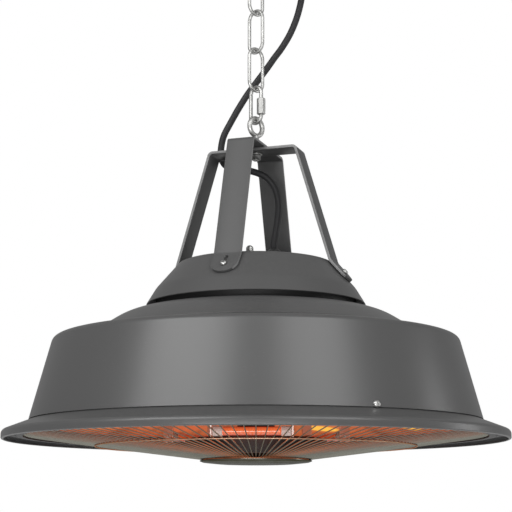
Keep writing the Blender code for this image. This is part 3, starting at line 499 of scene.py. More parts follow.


# Painted reflections of the lamps in the dish, by colour. Each one: middle, half size, share of the half size
# that fades
PAINTED_LAMP_REFLECTIONS = {
    (0.62, 0.17, 0.045): [((174, 90, 22), (42, 34, 18), 0.9), ((-165, 106, 22), (42, 34, 18), 0.9),
                          ((-9, -196, 22), (50, 24, 18), 0.9), ((82, 176, 25), (40, 24, 18), 0.9)],
    (0.50, 0.085, 0.028): [((-85, 179, 25), (31, 15, 14), 0.4), ((-183, 150, 15), (13, 20, 12), 0.9),
                           ((198, 125, 15), (12, 22, 12), 0.9), ((-125, 190, 20), (16, 20, 14), 0.9)],
    (0.95, 0.50, 0.06): [((78.5, 179, 25), (24, 12, 12), 0.3), ((178, 112, 20), (15, 15, 12), 0.9)],
}


def paint_lamp_reflections(made):
    """Dim the painted lamp light toward the axis, and paint on the dish the blurred reflections of the lamps
    that it mirrors.
    """
    tree, shader, vector = parts_of(made)
    lit = shader["Emission Color"].links[0].from_socket
    radius = vector_maths(tree, "LENGTH", vector_maths(tree, "MULTIPLY", vector, (1.0, 1.0, 0.0)), result=1)
    share = ramped(tree, maths(tree, "MULTIPLY", radius, 4.0), (0.40, 0.28), (0.72, 1.0))
    lit = mixed(tree, share, grey(0.0), lit)
    for colour, lamp_reflections in PAINTED_LAMP_REFLECTIONS.items():
        for middle, half, edge in lamp_reflections:
            lit = mixed(tree, soft_patch(tree, vector, middle, half, edge), lit, colour)
    feed(tree, shader, {"Emission Color": lit})


COIL_TURNS = 4200.0     # the heating coil's turns along the tube, in radians per metre


def lit_quartz(name, deep, hot, thrown):
    """A glowing quartz tube, which throws more light than the camera sees on the tube itself."""
    made, tree, shader, vector = new_finish(name)
    along = wired(tree, "Attribute", attribute_name="along").outputs["Fac"]
    turns = maths(tree, "SINE", maths(tree, "MULTIPLY", along, COIL_TURNS))
    coil = maths(tree, "MULTIPLY_ADD", turns, 0.25, 0.75)
    facing = wired(tree, "LayerWeight", {"Blend": 0.45}).outputs["Facing"]
    core = ramped(tree, facing, (0.0, 1.0), (0.55, 0.0))
    patchy = maths(tree, "MULTIPLY_ADD", noise(tree, vector, 90.0), 0.5, 0.75)
    heat = product(tree, coil, core, patchy)
    seen = wired(tree, "LightPath").outputs["Is Camera Ray"]
    feed(tree, shader, {"Emission Color": mixed(tree, heat, deep, hot),
                        "Emission Strength": maths(tree, "MULTIPLY_ADD", seen, 1.0 - thrown, thrown),
                        "Base Color": mixed(tree, heat, (0.15, 0.02, 0.01), (0.22, 0.05, 0.02)),
                        "Roughness": 0.12, "Coat Weight": 0.6})
    return made


def show_pale_from_above(made, brightness):
    """Show a floor finish pale to the camera and in gloss, and let every ray through it from below."""
    tree, shader = parts_of(made)[:2]
    ray = wired(tree, "LightPath").outputs
    seen = maths(tree, "MAXIMUM", ray["Is Camera Ray"], ray["Is Glossy Ray"])
    seen = maths(tree, "MAXIMUM", seen, ray["Is Transmission Ray"])
    strength = maths(tree, "MULTIPLY", seen, brightness)
    feed(tree, shader, {"Emission Color": grey(1.0), "Emission Strength": strength})
    under = wired(tree, "NewGeometry").outputs["Backfacing"]
    opaque = tree.nodes["Principled BSDF"].outputs[0]
    clear = wired(tree, "BsdfTransparent").outputs[0]
    both = wired(tree, "MixShader", {0: under, 1: opaque, 2: clear}).outputs[0]
    feed(tree, tree.nodes["Material Output"].inputs, {"Surface": both})


# Name, colour, colour where worn, roughness, specular level, dust and wear
SHADE_PAINT = powder_paint("shade_grey_paint", grey(0.056), grey(0.16), 0.32, 0.42, 0.10, 0.25)
STRAP_PAINT = powder_paint("strap_grey_paint", grey(0.057), grey(0.20), 0.44, 0.27, 0.10, 0.35)
BLACK_PAINT = powder_paint("neck_black_paint", grey(0.010), grey(0.05), 0.5, 0.25, 0.04, 0.2)
# The straps' thin side faces are drawn lighter
lighten_side_faces(STRAP_PAINT, grey(0.17))

# Name, colour, roughness and dullness
ZINC = bright_metal("bright_zinc", (0.42, 0.42, 0.41), 0.40, 0.5, bump=0.000003)
PLATE_ZINC = bright_metal("plate_zinc", (0.55, 0.55, 0.54), 0.38, 0.25, spangle=110.0)
WIRE_STEEL = bright_metal("grille_wire_steel", (0.15, 0.148, 0.128), 0.26, 0.4)
# The rings are the wires' steel drawn orange-gold and lighter: painted lamp light
PAINTED_LIGHT_RING_STEEL = bright_metal("grille_ring_steel_painted_lamp_light", (0.36, 0.27, 0.19), 0.30, 0.4)
CAP_STEEL = bright_metal("guard_cap_steel", (0.105, 0.103, 0.088), 0.20, 0.3)
REFLECTOR_METAL = bright_metal("reflector_metal", (0.12, 0.075, 0.055), 0.24, 0.15, line_scale=500.0)
BRACKET_METAL = bright_metal("lamp_bracket_metal", (0.50, 0.47, 0.45), 0.30, 0.5)

# Painted lamp light, as emission: finish, reach of the lamps' light in metres, its deep colour, its hot
# colour and how streaked it is
paint_lamp_light(REFLECTOR_METAL, 0.42, (0.30, 0.06, 0.025), (0.44, 0.09, 0.030), 2.8)
paint_lamp_light(BRACKET_METAL, 0.10, (0.08, 0.02, 0.01), (0.22, 0.05, 0.02), 0.4)
paint_lamp_light(WIRE_STEEL, 0.19, (0.30, 0.05, 0.018), (0.65, 0.17, 0.05), 1.6, from_above=True)
paint_lamp_light(PAINTED_LIGHT_RING_STEEL, 0.13, (0.10, 0.02, 0.008), (0.22, 0.055, 0.018), 1.5)
# Painted reflections of the lamps in the reflector's dish
paint_lamp_reflections(REFLECTOR_METAL)
LIT_QUARTZ = lit_quartz("red_quartz", (0.24, 0.020, 0.006), (0.78, 0.15, 0.035), 8.0)

# Name, colour, roughness, cloud amount, cloud scale, bump and grain scale
RUBBER = plain_dielectric("cord_rubber", (0.017, 0.017, 0.018), 0.50, 0.25, 30.0, 0.25, 1800.0)
PLASTIC = plain_dielectric("gland_plastic", grey(0.018), 0.42, 0.2, 40.0, 0.15, 2200.0)
CERAMIC = plain_dielectric("lamp_ceramic", (0.50, 0.44, 0.41), 0.5, 0.3, 80.0, 0.2, 1500.0)
FLOOR_PAINT = plain_dielectric("floor_paint", grey(0.86), 0.7, 0.02, 2.0, 0.05, 300.0)
show_pale_from_above(FLOOR_PAINT, 0.5)

feed(*parts_of(RUBBER)[:2], {"Specular IOR Level": 0.22})

# The colour that each metal turns where it is seen almost edge on; the ring's warm tint is painted lamp light
EDGE_TINTS = ((CAP_STEEL, (0.35, 0.35, 0.31)), (WIRE_STEEL, (0.60, 0.57, 0.50)),
              (REFLECTOR_METAL, (0.60, 0.45, 0.38)), (PAINTED_LIGHT_RING_STEEL, (0.70, 0.50, 0.36)))
for finish, tint in EDGE_TINTS:
    feed(*parts_of(finish)[:2], {"Specular Tint": tint})


# Ways of making pieces
def rounded(corners, turn_step=9.0):
    """Points of an outline through corners (across, height, fillet radius), with the fillets as arcs."""
    points = []
    for index, (across, height, radius) in enumerate(corners):
        here = Vector((across, height))
        if radius == 0 or index in (0, len(corners) - 1):
            points.append(here)
            continue
        back = (Vector(corners[index - 1][:2]) - here).normalized()
        ahead = (Vector(corners[index + 1][:2]) - here).normalized()
        half = back.angle(ahead) / 2
        centre = here + (back + ahead).normalized() * radius / math.sin(half)
        start = here + back * radius / math.tan(half) - centre
        turn = math.pi - 2 * half
        if start.y * back.x < start.x * back.y:
            turn = -turn
        count = max(2, math.ceil(abs(turn) / math.radians(turn_step)))
        points += [centre + Matrix.Rotation(turn * step / count, 2) @ start for step in range(count + 1)]
    return points


def with_wall(points, wall):
    """A closed section: the line, and behind its right side the same line again a wall's thickness away."""
    steps = [there - here for here, there in zip(points, points[1:])]
    sides = [Vector((step.y, -step.x)).normalized() for step in steps]
    back = []
    for index, point in enumerate(points):
        before, after = sides[max(index - 1, 0)], sides[min(index, len(sides) - 1)]
        middle = (before + after).normalized()
        moved = point + middle * wall / max(middle.dot(before), 0.4)
        back.append(Vector((0, moved.y)) if point.x == 0 else moved)
    return points + back[::-1] + ([] if points[0].x == 0 or points[-1].x == 0 else [points[0]])


def pull_along(extrude, points):
    """Extrude what is selected from each point of a line to the next, in the XZ plane."""
    for here, there in zip(points, points[1:]):
        pull = ((there.x - here.x) * MM, 0, (there.y - here.y) * MM)
        extrude(TRANSFORM_OT_translate={"value": pull})


def lathe(name, steps, corners, turn_step=9.0, base=RIM_EDGE, wall=0):
    """Draw a rounded outline, or the section of a sheet that follows it, and spin it about the Z axis."""
    section = rounded(corners, turn_step)
    if wall:
        section = with_wall(section, wall)
    let_go()
    bpy.ops.mesh.primitive_plane_add(size=MM, location=(0, 0, 0))
    piece = bpy.context.object
    piece.name = piece.data.name = name
    mode("EDIT")
    bpy.ops.mesh.select_mode(type="VERT")
    bpy.ops.mesh.merge(type="CENTER")
    bpy.ops.transform.translate(value=(section[0].x * MM, 0, base + section[0].y * MM))
    pull_along(bpy.ops.mesh.extrude_vertices_move, section)
    bpy.ops.mesh.select_all(action="SELECT")
    bpy.ops.mesh.spin(steps=steps, angle=math.tau, center=(0, 0, 0), axis=(0, 0, 1))
    welded(0.02, 32)
    return piece


def pick(piece):
    """Select one piece alone and make it the active one."""
    let_go()
    piece.select_set(True)
    bpy.context.view_layer.objects.active = piece


def placed_by(piece, matrix):
    """Move a piece to a place, and put the place into its mesh."""
    piece.matrix_world = matrix @ piece.matrix_world
    pick(piece)
    bpy.ops.object.transform_apply(location=True, rotation=True, scale=True)
    return piece


def around(degrees):
    """A turn about the heater's axis."""
    return Matrix.Rotation(math.radians(degrees), 4, "Z")


def at(across, along, height, base=RIM_EDGE):
    """A move given in millimetres, its height above a base."""
    return Matrix.Translation((across * MM, along * MM, base + height * MM))


def tipped(degrees):
    """A turn about the Y axis."""
    return Matrix.Rotation(math.radians(degrees), 4, "Y")


def copied(piece, name, matrix):
    """A copy with its own mesh, moved by a matrix."""
    pick(piece)
    bpy.ops.object.duplicate()
    twin = bpy.context.object
    twin.name = twin.data.name = name
    return placed_by(twin, matrix)


def thrown_away(*models):
    """Delete models and tools that have done their work."""
    for model in models:
        bpy.data.objects.remove(model, do_unlink=True)


def modified(piece, kind, **settings):
    """Add a modifier with its settings and apply it."""
    pick(piece)
    added = piece.modifiers.new(kind.title(), kind)
    for key, value in settings.items():
        setattr(added, key, value)
    bpy.ops.object.modifier_apply(modifier=added.name)


def cut_by(piece, tool, operation="DIFFERENCE"):
    """Cut a piece with a tool, or join it to one, and throw the tool away."""
    modified(piece, "BOOLEAN", operation=operation, solver="EXACT", object=tool)
    thrown_away(tool)


def cylinder(radius, depth, sides):
    """A cylinder about the Z axis, given in millimetres, its middle at the origin."""
    let_go()
    bpy.ops.mesh.primitive_cylinder_add(vertices=sides, radius=radius * MM, depth=depth * MM)
    return bpy.context.object


def drilled(piece, place, radius, depth=12, sides=32):
    """Cut a round hole along a place's Z axis."""
    cut_by(piece, placed_by(cylinder(radius, depth, sides), place))


def bored(piece, radius, top, bottom, steps):
    """Cut a turned bore along the Z axis of a piece that still stands at the origin."""
    line = [(0, top, 0), (radius, top, 0), (radius, bottom, 0), (0, bottom, 0)]
    cut_by(piece, lathe("bore", steps, line, base=0))


def crisp(piece, width, segments=2):
    """Break the sharp edges of a finished shape."""
    modified(piece, "BEVEL", width=width * MM, segments=segments, limit_method="ANGLE",
             angle_limit=math.radians(35), harden_normals=False, use_clamp_overlap=True)
    smooth_below(38)


def forged(piece, rounds):
    """Melt the joined parts of a piece into one soft shape."""
    modified(piece, "REMESH", mode="VOXEL", voxel_size=0.45 * MM)
    modified(piece, "SMOOTH", factor=0.5, iterations=rounds)
    bpy.ops.object.shade_smooth()


def dressed(piece, finish, slot, *stands_for, body="heater"):
    """Give a finished piece its material and its body, and hide the solids that it stands for. The slot is
    not used.
    """
    piece.data.materials.clear()
    piece.data.materials.append(finish)
    for face in piece.data.polygons:
        face.material_index = 0
    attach(piece, body)
    if stands_for:
        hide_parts(*stands_for)


GREY = (SHADE_PAINT, "grey_paint")
BLACK = (BLACK_PAINT, "black_paint")
BRIGHT = (ZINC, "zinc_steel")


def turned(name, node, look, steps, corners, turn_step=9.0):
    """A piece of the heater turned from sheet, from its outline to its finish."""
    dressed(lathe(name, steps, corners, turn_step, wall=SHEET), *look, node)


# Shade: rim ring, drum, shoulder, neck and dome, in millimetres and degrees
DRUM_BOTTOM = 19.295
DRUM_FOOT_RADIUS = 239.9
DRUM_CORNER = (216.617, 106.8)
DRUM_LEAN = 14.9
DRUM_TOP_SLOPE = 7.3
UPSTAND_TOP = 33.295
RIM_RADIUS = 267.5
FLANGE_SLOPE = math.tan(math.radians(21))
DISH_GAP = 4.2
NECK_SEAT = 137.829
DOME_TOP = 190.329
DOME_FLAT_RADIUS = 83.345


def drum_wall(height, depth=0.0):
    """Radius of the drum's tapered wall at a height, a depth below its outer face."""
    lean = math.radians(DRUM_LEAN)
    return DRUM_FOOT_RADIUS - (height - DRUM_BOTTOM) * math.tan(lean) - depth / math.cos(lean)


def drum_top(radius):
    """Height of the drum's top plate at a radius."""
    return DRUM_CORNER[1] + (DRUM_CORNER[0] - radius) * math.tan(math.radians(DRUM_TOP_SLOPE))


def make_shade():
    """The turned tiers of the shade, each one spun from its section."""
    upstand = SHEET + CLEAR
    bend = 8.4 + (RIM_RADIUS - drum_wall(DRUM_BOTTOM, upstand)) * FLANGE_SLOPE
    turned("rim_ring_smooth", "rim_ring", GREY, 192,
           [(drum_wall(UPSTAND_TOP, upstand), UPSTAND_TOP, 0), (drum_wall(bend, upstand), bend, 1.2),
            (RIM_RADIUS, 8.4, 5), (RIM_RADIUS, 0, 1.3), (264.5, 0, 0)])
    drum_end = DRUM_BOTTOM + 0.77
    turned("shade_drum_smooth", "shade_drum", GREY, 192,
           [(150, drum_top(150), 0), (*DRUM_CORNER, 7.8), (drum_wall(drum_end), drum_end, 0)], 6)
    turned("shoulder_smooth", "shoulder_cover", GREY, 160,
           [(98, NECK_SEAT, 0), (134.99, NECK_SEAT, 70), (175.8, 112.329, 0.8),
            (161.8, drum_top(161.8) + CLEAR, 0)], 2)
    turned("neck_smooth", "neck_ring", BLACK, 128, [(108, 157.829, 0), (108, 138.13, 1.0), (98, 138.13, 0)])
    turned("dome_smooth", "dome_cover", GREY, 160,
           [(0, DOME_TOP, 0), (DOME_FLAT_RADIUS, DOME_TOP, 6), (108.206, 161.629, 40),
            (118.3, 144.829, 0)], 3)


def make_inside():
    """The polished reflector, the hub below it and the frame that carries the grille."""
    turned("reflector_smooth", "reflector", (REFLECTOR_METAL, "aluminium"), 160,
           [(0, 40, 0), (130, 40, 8), (drum_wall(16, DISH_GAP), 16, 1.6),
            (drum_wall(UPSTAND_TOP, DISH_GAP), UPSTAND_TOP, 0)], 6)
    hub = lathe("hub_smooth", 96, [(0, 38.5, 0), (20, 38.5, 0), (20, 2, 3), (75.5, 2, 2), (75.5, -15.2, 1.5),
                                   (6, -15.2, 0), (6, -21.8, 0), (0, -21.8, 0)])
    dressed(hub, *BLACK, "centre_hub")
    turned("grille_frame_smooth", "grille_frame", BLACK, 160,
           [(251.973, 12.775, 0), (251.973, 3.2, 0.9), (244.973, 3.2, 0)])


# Bracket: two crossed straps with slotted feet, and the screws that hold them. Each strap: name, top, turn
STRAPS = (("strap_front_back", 321.129, 71.0), ("strap_side_side", 317.829, -19.0))
STRAP_WIDTH = 30
STRAP_THICK = 3
STRAP_HALF_TOP = 50.5
LEG_LEAN = math.radians(16.6)
FOOT_LENGTH = 28
FOOT_ROUND = 14.7
SCREW_FROM_TIP = 11.5
DOME_SLOPE_DEGREES = 40.9
DOME_SLOPE = math.radians(DOME_SLOPE_DEGREES)
FOOT_DOWN = Vector((math.sin(DOME_SLOPE), -math.cos(DOME_SLOPE)))


def strap_knee(top):
    """Where a leg meets the dome's slope, in the strap's plane, in millimetres."""
    normal = Vector((math.cos(DOME_SLOPE), math.sin(DOME_SLOPE)))
    on_dome = Vector((DOME_FLAT_RADIUS, DOME_TOP)) + normal * (STRAP_THICK + CLEAR)
    leg = Vector((math.sin(LEG_LEAN), -math.cos(LEG_LEAN)))
    offset = Vector((STRAP_HALF_TOP, top)) - on_dome
    along = (offset.x * leg.y - offset.y * leg.x) / (FOOT_DOWN.x * leg.y - FOOT_DOWN.y * leg.x)
    return on_dome + FOOT_DOWN * along


def foot_place(knee, side):
    """The screw's place on a foot in the strap's plane, its Z axis square to the dome."""
    point = knee + FOOT_DOWN * (FOOT_LENGTH - SCREW_FROM_TIP)
    return around(side) @ at(point.x, 0, point.y) @ tipped(90 - DOME_SLOPE_DEGREES)


def choose(piece, wanted):
    """Enter edit mode with the wanted corners selected."""
    pick(piece)
    mode("EDIT")
    bpy.ops.mesh.select_mode(type="VERT")
    bpy.ops.mesh.select_all(action="DESELECT")
    mode("OBJECT")
    for vert in piece.data.vertices:
        vert.select = wanted(vert.co)
    mode("EDIT")


def slot_cutter(place):
    """A long round-ended cutter that runs uphill from the screw's place."""
    cutter = cylinder(2.3, 12, 32)
    choose(cutter, lambda corner: corner.x < 0.01 * MM)
    bpy.ops.transform.translate(value=(-11.4 * MM, 0, 0))
    mode("OBJECT")
    return placed_by(cutter, place)


def bent_bar(name, corners, width, wall, end_round=0.0):
    """A flat bar pulled along a line in the XZ plane, its ends rounded, then thickened below the line."""
    points = rounded(corners)
    let_go()
    bpy.ops.mesh.primitive_plane_add(size=width * MM, location=(0, 0, 0))
    bar = bpy.context.object
    bar.name = bar.data.name = name
    choose(bar, lambda corner: corner.x > 0)
    bpy.ops.mesh.delete(type="VERT")
    bpy.ops.mesh.select_all(action="SELECT")
    shift = (points[0].x * MM + width * MM / 2, 0, level(points[0].y))
    bpy.ops.transform.translate(value=shift)
    bpy.ops.mesh.select_mode(type="EDGE")
    pull_along(bpy.ops.mesh.extrude_edges_move, points)
    if end_round:
        mode("OBJECT")
        reach = max(vert.co.x for vert in bar.data.vertices) - 0.01 * MM
        choose(bar, lambda corner: abs(corner.x) > reach)
        bpy.ops.mesh.bevel(offset=end_round * MM, segments=14, affect="VERTICES")
    bpy.ops.mesh.select_all(action="SELECT")
    mode("OBJECT")
    highest = max(bar.data.polygons, key=lambda face: face.center.z)
    if highest.normal.z < 0:
        mode("EDIT")
        bpy.ops.mesh.flip_normals()
        mode("OBJECT")
    modified(bar, "SOLIDIFY", thickness=wall * MM, offset=-1, use_even_offset=True)
    return bar


def cross_head(name, radius, height, shank, length):
    """A pan-head screw that stands on Z = 0, its shank below, with a cross recess in its head."""
    screw = lathe(name, 32, [(0, height, 0), (radius, height, min(radius, height) * 0.8), (radius, 0, 0.2),
                             (shank, 0, 0), (shank, -length, 0), (0, -length, 0)], 10, base=0)
    for degrees in (20, 110):
        let_go()
        bpy.ops.mesh.primitive_cube_add(size=MM)
        blade = bpy.context.object
        mode("EDIT")
        bpy.ops.transform.resize(value=(radius * 1.05, 0.55, 1.7))
        mode("OBJECT")
        cut_by(screw, placed_by(blade, at(0, 0, height, base=0) @ around(degrees)))
    smooth_below(38)
    return screw


def make_bracket():
    """Both straps with their slots, a screw in every foot, and the three screws in the drum."""
    model = cross_head("strap_screw_model", 3.5, 2.4, 2.0, 6.5)
    number = 1
    for name, top, turn in STRAPS:
        knee = strap_knee(top)
        end = knee + FOOT_DOWN * FOOT_LENGTH
        half = [(STRAP_HALF_TOP, top, 6), (knee.x, knee.y, 8), (end.x, end.y, 0)]
        corners = [(-across, height, radius) for across, height, radius in reversed(half)] + half
        strap = bent_bar(name + "_bar", corners, STRAP_WIDTH, STRAP_THICK, end_round=FOOT_ROUND)
        for side in (0, 180):
            cut_by(strap, slot_cutter(foot_place(knee, side)))
        crisp(strap, 0.4)
        # Mark the straps' thin side faces, which are drawn lighter
        strap_side = strap.data.attributes.new("strap_side", "FLOAT", "FACE")
        strap_side.data.foreach_set("value", [float(abs(face.normal.y) > 0.7) for face in strap.data.polygons])
        placed_by(strap, around(turn))
        dressed(strap, STRAP_PAINT, "grey_paint", name)
        for side in (0, 180):
            place = around(turn) @ foot_place(knee, side) @ at(0, 0, CLEAR, base=0)
            screw = copied(model, f"foot_screw_{number}", place @ around(37 * number))
            dressed(screw, *BRIGHT, f"strap_screw_{number}")
            number += 1
    rim_model = cross_head("rim_screw_model", 3.7, 3.0, 1.5, 6.8)
    height = DRUM_BOTTOM + 3.2
    for index in range(3):
        place = around(27.5 + 120 * index - 90) @ at(drum_wall(height), 0, height) @ tipped(90 - DRUM_LEAN)
        screw = copied(rim_model, f"drum_screw_{index + 1}", place @ around(25 * index + 10))
        dressed(screw, *BRIGHT, f"rim_screw_{index + 1}")
    thrown_away(model, rim_model)


def hexagon(name, radius, height, chamfer, base=0.0):
    """A hexagonal prism whose corners are turned off at both ends."""
    prism = placed_by(cylinder(radius, height, 6), at(0, 0, base + height / 2, base=0))
    prism.name = prism.data.name = name
    top, flat, edge = base + height, radius - chamfer * 1.7, radius + 0.1
    cone = lathe(name + "_cone", 48, [(0, top, 0), (flat, top, 0), (edge, top - chamfer, 0),
                                      (edge, base + chamfer, 0), (flat, base, 0), (0, base, 0)], base=0)
    cut_by(prism, cone, "INTERSECT")
    return prism


def make_eye():
    """The forged eye bolt through the crossed straps, with its washer and nut below."""
    let_go()
    bpy.ops.mesh.primitive_torus_add(major_radius=9.75 * MM, minor_radius=2.75 * MM, major_segments=64,
                                     minor_segments=24)
    eye = placed_by(bpy.context.object, at(0, 0, 345.012) @ Matrix.Rotation(math.pi / 2, 4, "X"))
    eye.name = eye.data.name = "eye_bolt_forged"
    stem = lathe("eye_stem", 48, [(0, 334.3, 0), (3.2, 334.3, 0), (3.6, 329.5, 2), (5.5, 325.5, 1.2),
                                  (5.5, 321.429, 0.5), (3, 321.429, 0), (3, 306.329, 0.4), (0, 306.329, 0)])
    cut_by(eye, stem, "UNION")
    forged(eye, 6)
    placed_by(eye, around(45))
    dressed(eye, *BRIGHT, "eye_bolt")
    washer = lathe("eye_washer_turned", 48, [(3.3, 314.529, 0), (7, 314.529, 0.3), (7, 313.029, 0.3),
                                             (3.3, 313.029, 0), (3.3, 314.529, 0)])
    dressed(washer, *BRIGHT, "eye_washer")
    nut = hexagon("eye_nut_chamfered", 5.7, 5.0, 0.5)
    bored(nut, 3.3, 6, -1, 32)
    crisp(nut, 0.15, 1)
    placed_by(nut, at(0, 0, 307.729) @ around(52))
    dressed(nut, *BRIGHT, "eye_nut")


def arc_points(radius, middle, start, sweep, steps):
    """Points on a circle in the XZ plane."""
    turns = [start + sweep * step / steps for step in range(steps + 1)]
    return [Vector((radius * math.cos(turn), 0, middle + radius * math.sin(turn))) for turn in turns]


def link_line(width, length, thickness, top):
    """The middle line of a link, its outer top at a height in metres, from its right side over the top."""
    radius = (width - thickness) / 2 * MM
    upper = top - thickness / 2 * MM - radius
    lower = top - (length - thickness / 2) * MM + radius
    return arc_points(radius, upper, 0, math.pi, 20) + arc_points(radius, lower, math.pi, math.pi, 20)


QUICK_WIRE = 4.2
SLEEVE_LEG = 8.0    # distance of the quick link's threaded leg from the axis


def make_quick_link():
    """The open wire link, and the hexagonal sleeve over the gap in its side."""
    line = link_line(20.2, 45.6, QUICK_WIRE, level(393.112))
    leg = SLEEVE_LEG * MM
    bottom = line[-1].z
    points = [Vector((leg, 0, bottom + 6.05 * MM))] + line + [Vector((leg, 0, bottom + 1.05 * MM))]
    link = round_wire("quick_link_wire", points, QUICK_WIRE * MM, sides=6)
    placed_by(link, around(-45))
    dressed(link, *BRIGHT, "quick_link", body="quick_link")
    sleeve = hexagon("sleeve_chamfered", 4.8, 19, 0.9)
    bored(sleeve, 2.5, 21, -2, 40)
    crisp(sleeve, 0.25)
    placed_by(sleeve, around(-45) @ at(SLEEVE_LEG, 0, CLEAR, base=bottom) @ around(10))
    dressed(sleeve, *BRIGHT, "quick_link_sleeve", body="sleeve")


def make_chain():
    """Three long links, modelled once and turned a quarter against each other."""
    line = link_line(24.5, 52.5, 3.8, level(437.312))
    model = round_wire("link_model", line, 3.8 * MM, closed=True, sides=6)
    for index in range(3):
        place = at(0, 0, index * 44.6, base=0) @ around(-45 if index % 2 else 45)
        name = f"link_{index + 1}"
        dressed(copied(model, "chain_" + name, place), *BRIGHT, name, body=name)
    thrown_away(model)


def make_ceiling_fixing():
    """The forged hook with its collar, and the ceiling plate with holes for its screws and the cord."""
    points = arc_points(11.5 * MM, level(531.412), math.pi / 2, -math.radians(300), 48)
    hook = round_wire("ceiling_hook_forged", points, 5 * MM, sides=6)
    shank = lathe("hook_shank", 48, [(0, 558.512, 0), (2.5, 558.512, 0.3), (2.5, 556.012, 0),
                                     (6, 556.012, 0.5), (6, 552.012, 1.2), (2.6, 551.5, 0.4),
                                     (2.5, 542.0, 0), (0, 541.0, 0)])
    cut_by(hook, shank, "UNION")
    forged(hook, 5)
    placed_by(hook, around(-45))
    dressed(hook, *BRIGHT, "ceiling_hook", body="ceiling_fixing")
    plate = lathe("ceiling_plate_turned", 128,
                  [(0, 560.312, 0), (70, 560.312, 0.6), (70, 556.312, 1.5), (9, 556.312, 0.4),
                   (8.2, 556.9, 0.3), (2.8, 556.9, 0), (2.8, 558.812, 0), (0, 558.812, 0)])
    for index in range(3):
        drilled(plate, around(120 * index - 90) @ at(58, 0, 558), 2.7)
    drilled(plate, at(54, 26, 558), 6.3, sides=48)
    crisp(plate, 0.25)
    dressed(plate, PLATE_ZINC, "zinc_steel", "ceiling_plate", body="ceiling_fixing")


def make_top_fittings():
    """The ribbed cord gland with its nut inside the dome, and the cap nut beside it."""
    gland = lathe("dome_gland", 96, [(3.8, 20.6, 0), (5.6, 20.6, 0.6), (8.0, 18.2, 2.0), (8.5, 13.0, 0.8),
                                     (8.5, CLEAR, 0.4), (6, CLEAR, 0), (6, -3.5, 0), (3.8, -3.5, 0),
                                     (3.8, 20.6, 0)], base=0)
    cut_by(gland, hexagon("gland_nut", 8.5, 4.0, 0.5, base=-5.5), "UNION")
    for index in range(12):
        drilled(gland, around(30 * index) @ at(8.9, 0, 4.4, base=0), 0.8, 6.4, 16)
    crisp(gland, 0.15, 1)
    placed_by(gland, at(20, 20, DOME_TOP))
    dressed(gland, PLASTIC, "black_plastic", "cable_gland")
    nut = lathe("cap_nut_crown", 48, [(0, 11.8, 0), (3.9, 11.8, 3.7), (3.9, 6.2, 0.3), (4.5, 5.6, 0.3),
                                      (4.5, CLEAR, 0.2), (2.5, CLEAR, 0), (2.5, -2.2, 0), (4.5, -2.2, 0),
                                      (4.5, -5.2, 0), (0, -5.2, 0)], base=0)
    placed_by(nut, at(-6.6, -50, DOME_TOP))
    dressed(nut, *BRIGHT, "top_cap_nut")


def lamp_parts():
    """One quartz lamp along the Z axis: the tube, and its two caps with their pins."""
    tube = lathe("quartz_tube", 40, [(0, 29.4, 0), (4.4, 29.4, 1.4), (4.4, -29.4, 1.4), (0, -29.4, 0)], 12,
                 base=0)
    along = tube.data.attributes.new("along", "FLOAT", "POINT")
    along.data.foreach_set("value", [vert.co.z for vert in tube.data.vertices])
    cap = lathe("lamp_cap", 40, [(0, 42.6, 0), (1.5, 42.6, 0.5), (1.5, 40, 0), (4.4, 40, 0.6), (5, 38.6, 0.4),
                                 (5, 29.4, 0.5), (0, 29.4, 0)], 12, base=0)
    other = copied(cap, "lamp_cap_far", Matrix.Rotation(math.pi, 4, "X"))
    pick(cap)
    other.select_set(True)
    bpy.ops.object.join()
    return tube, bpy.context.object


def make_lamps():
    """Three lamps in their bent brackets, modelled once and placed three times round the hub."""
    tube, caps = lamp_parts()
    lie_down = at(0, -LAMP_RADIUS, LAMP_HEIGHT) @ tipped(90)
    span, foot, crest = 41.8, -0.5, 38.5
    corners = [(-span, foot, 0), (-span, crest, 2.5), (span, crest, 2.5), (span, foot, 0)]
    bracket = bent_bar("bracket_model", corners, 12, 1.5)
    placed_by(bracket, at(0, -LAMP_RADIUS, 0, base=0))
    drilled(bracket, lie_down, 1.8, 100)
    crisp(bracket, 0.2, 1)
    for number, turn in enumerate(LAMP_TURNS, 1):
        lit = copied(tube, f"lamp_tube_{number}", around(turn) @ lie_down)
        dressed(lit, LIT_QUARTZ, "quartz_lamp", f"lamp_{number}")
        ends = copied(caps, f"lamp_caps_{number}", around(turn) @ lie_down)
        dressed(ends, CERAMIC, "quartz_lamp")
        holder = copied(bracket, f"lamp_holder_{number}", around(turn))
        dressed(holder, BRACKET_METAL, "aluminium", f"lamp_bracket_{number}")
    thrown_away(tube, caps, bracket)


GRILLE_WIRES = 128


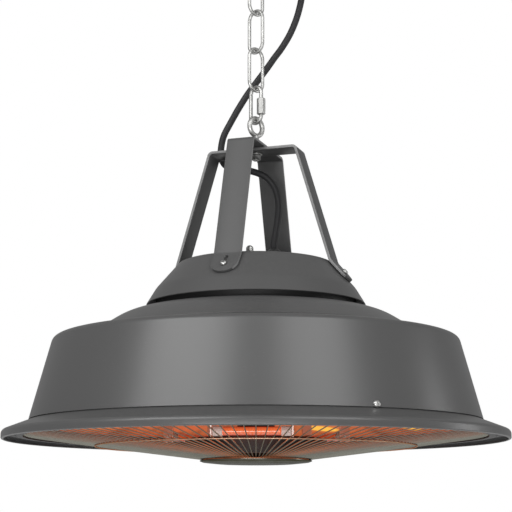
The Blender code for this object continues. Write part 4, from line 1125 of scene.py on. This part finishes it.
def guard_ring(name, radius, height, thickness, steps):
    """A wire ring about the heater's axis, in millimetres."""
    turns = [math.tau * step / steps for step in range(steps)]
    points = [Vector((radius * MM * math.cos(turn), radius * MM * math.sin(turn), level(height)))
              for turn in turns]
    return round_wire(name, points, thickness * MM, closed=True)


def make_grille():
    """One bent wire spun round into the guard, the rings that it is welded to, and the dished cap."""
    line = rounded([(248.2, 5.4, 0), (244.5, 5.2, 12), (170, -5, 60), (62, -18.6, 8), (53.5, -18.9, 0)], 2.5)
    points = [Vector((point.x * MM, 0, level(point.y))) for point in line]
    wires = round_wire("guard_wires", points, 1.2 * MM, sides=1)
    pick(wires)
    mode("EDIT")
    bpy.ops.mesh.select_all(action="SELECT")
    bpy.ops.mesh.spin(steps=GRILLE_WIRES - 1, angle=math.tau * (GRILLE_WIRES - 1) / GRILLE_WIRES, dupli=True,
                      center=(0, 0, 0), axis=(0, 0, 1))
    mode("OBJECT")
    bpy.ops.object.shade_smooth()
    dressed(wires, WIRE_STEEL, "grille_steel", "grille")
    dressed(guard_ring("guard_outer_ring", 248.2, 5.5, 2.2, 160), WIRE_STEEL, "grille_steel")
    dressed(guard_ring("guard_inner_ring", 55.5, -19.9, 1.4, 96), PAINTED_LIGHT_RING_STEEL, "grille_steel")
    dressed(guard_ring("guard_middle_ring", 170, -6.3, 1.2, 144), PAINTED_LIGHT_RING_STEEL, "grille_steel",
            "grille_mid_ring")
    turned("guard_cap", "grille_cap", (CAP_STEEL, "grille_steel"), 128,
           [(59.5, -20.6, 0), (59.5, -21.4, 0.4), (56.5, -22.6, 3), (40, -24.3, 60), (0, -24.6, 0)], 4)


make_shade()
make_bracket()
make_eye()
make_quick_link()
make_chain()
make_ceiling_fixing()
make_top_fittings()
make_inside()
make_lamps()
make_grille()
for piece in cord_pieces:
    piece.data.materials.clear()
    piece.data.materials.append(RUBBER)
for holder in nodes["cord_grip"].material_slots:
    holder.material = PLASTIC
floor.data.materials.append(FLOOR_PAINT)

# Bring the scene up to date and show it with the standard view transform
bpy.context.view_layer.update()
scene.view_settings.view_transform = "Standard"
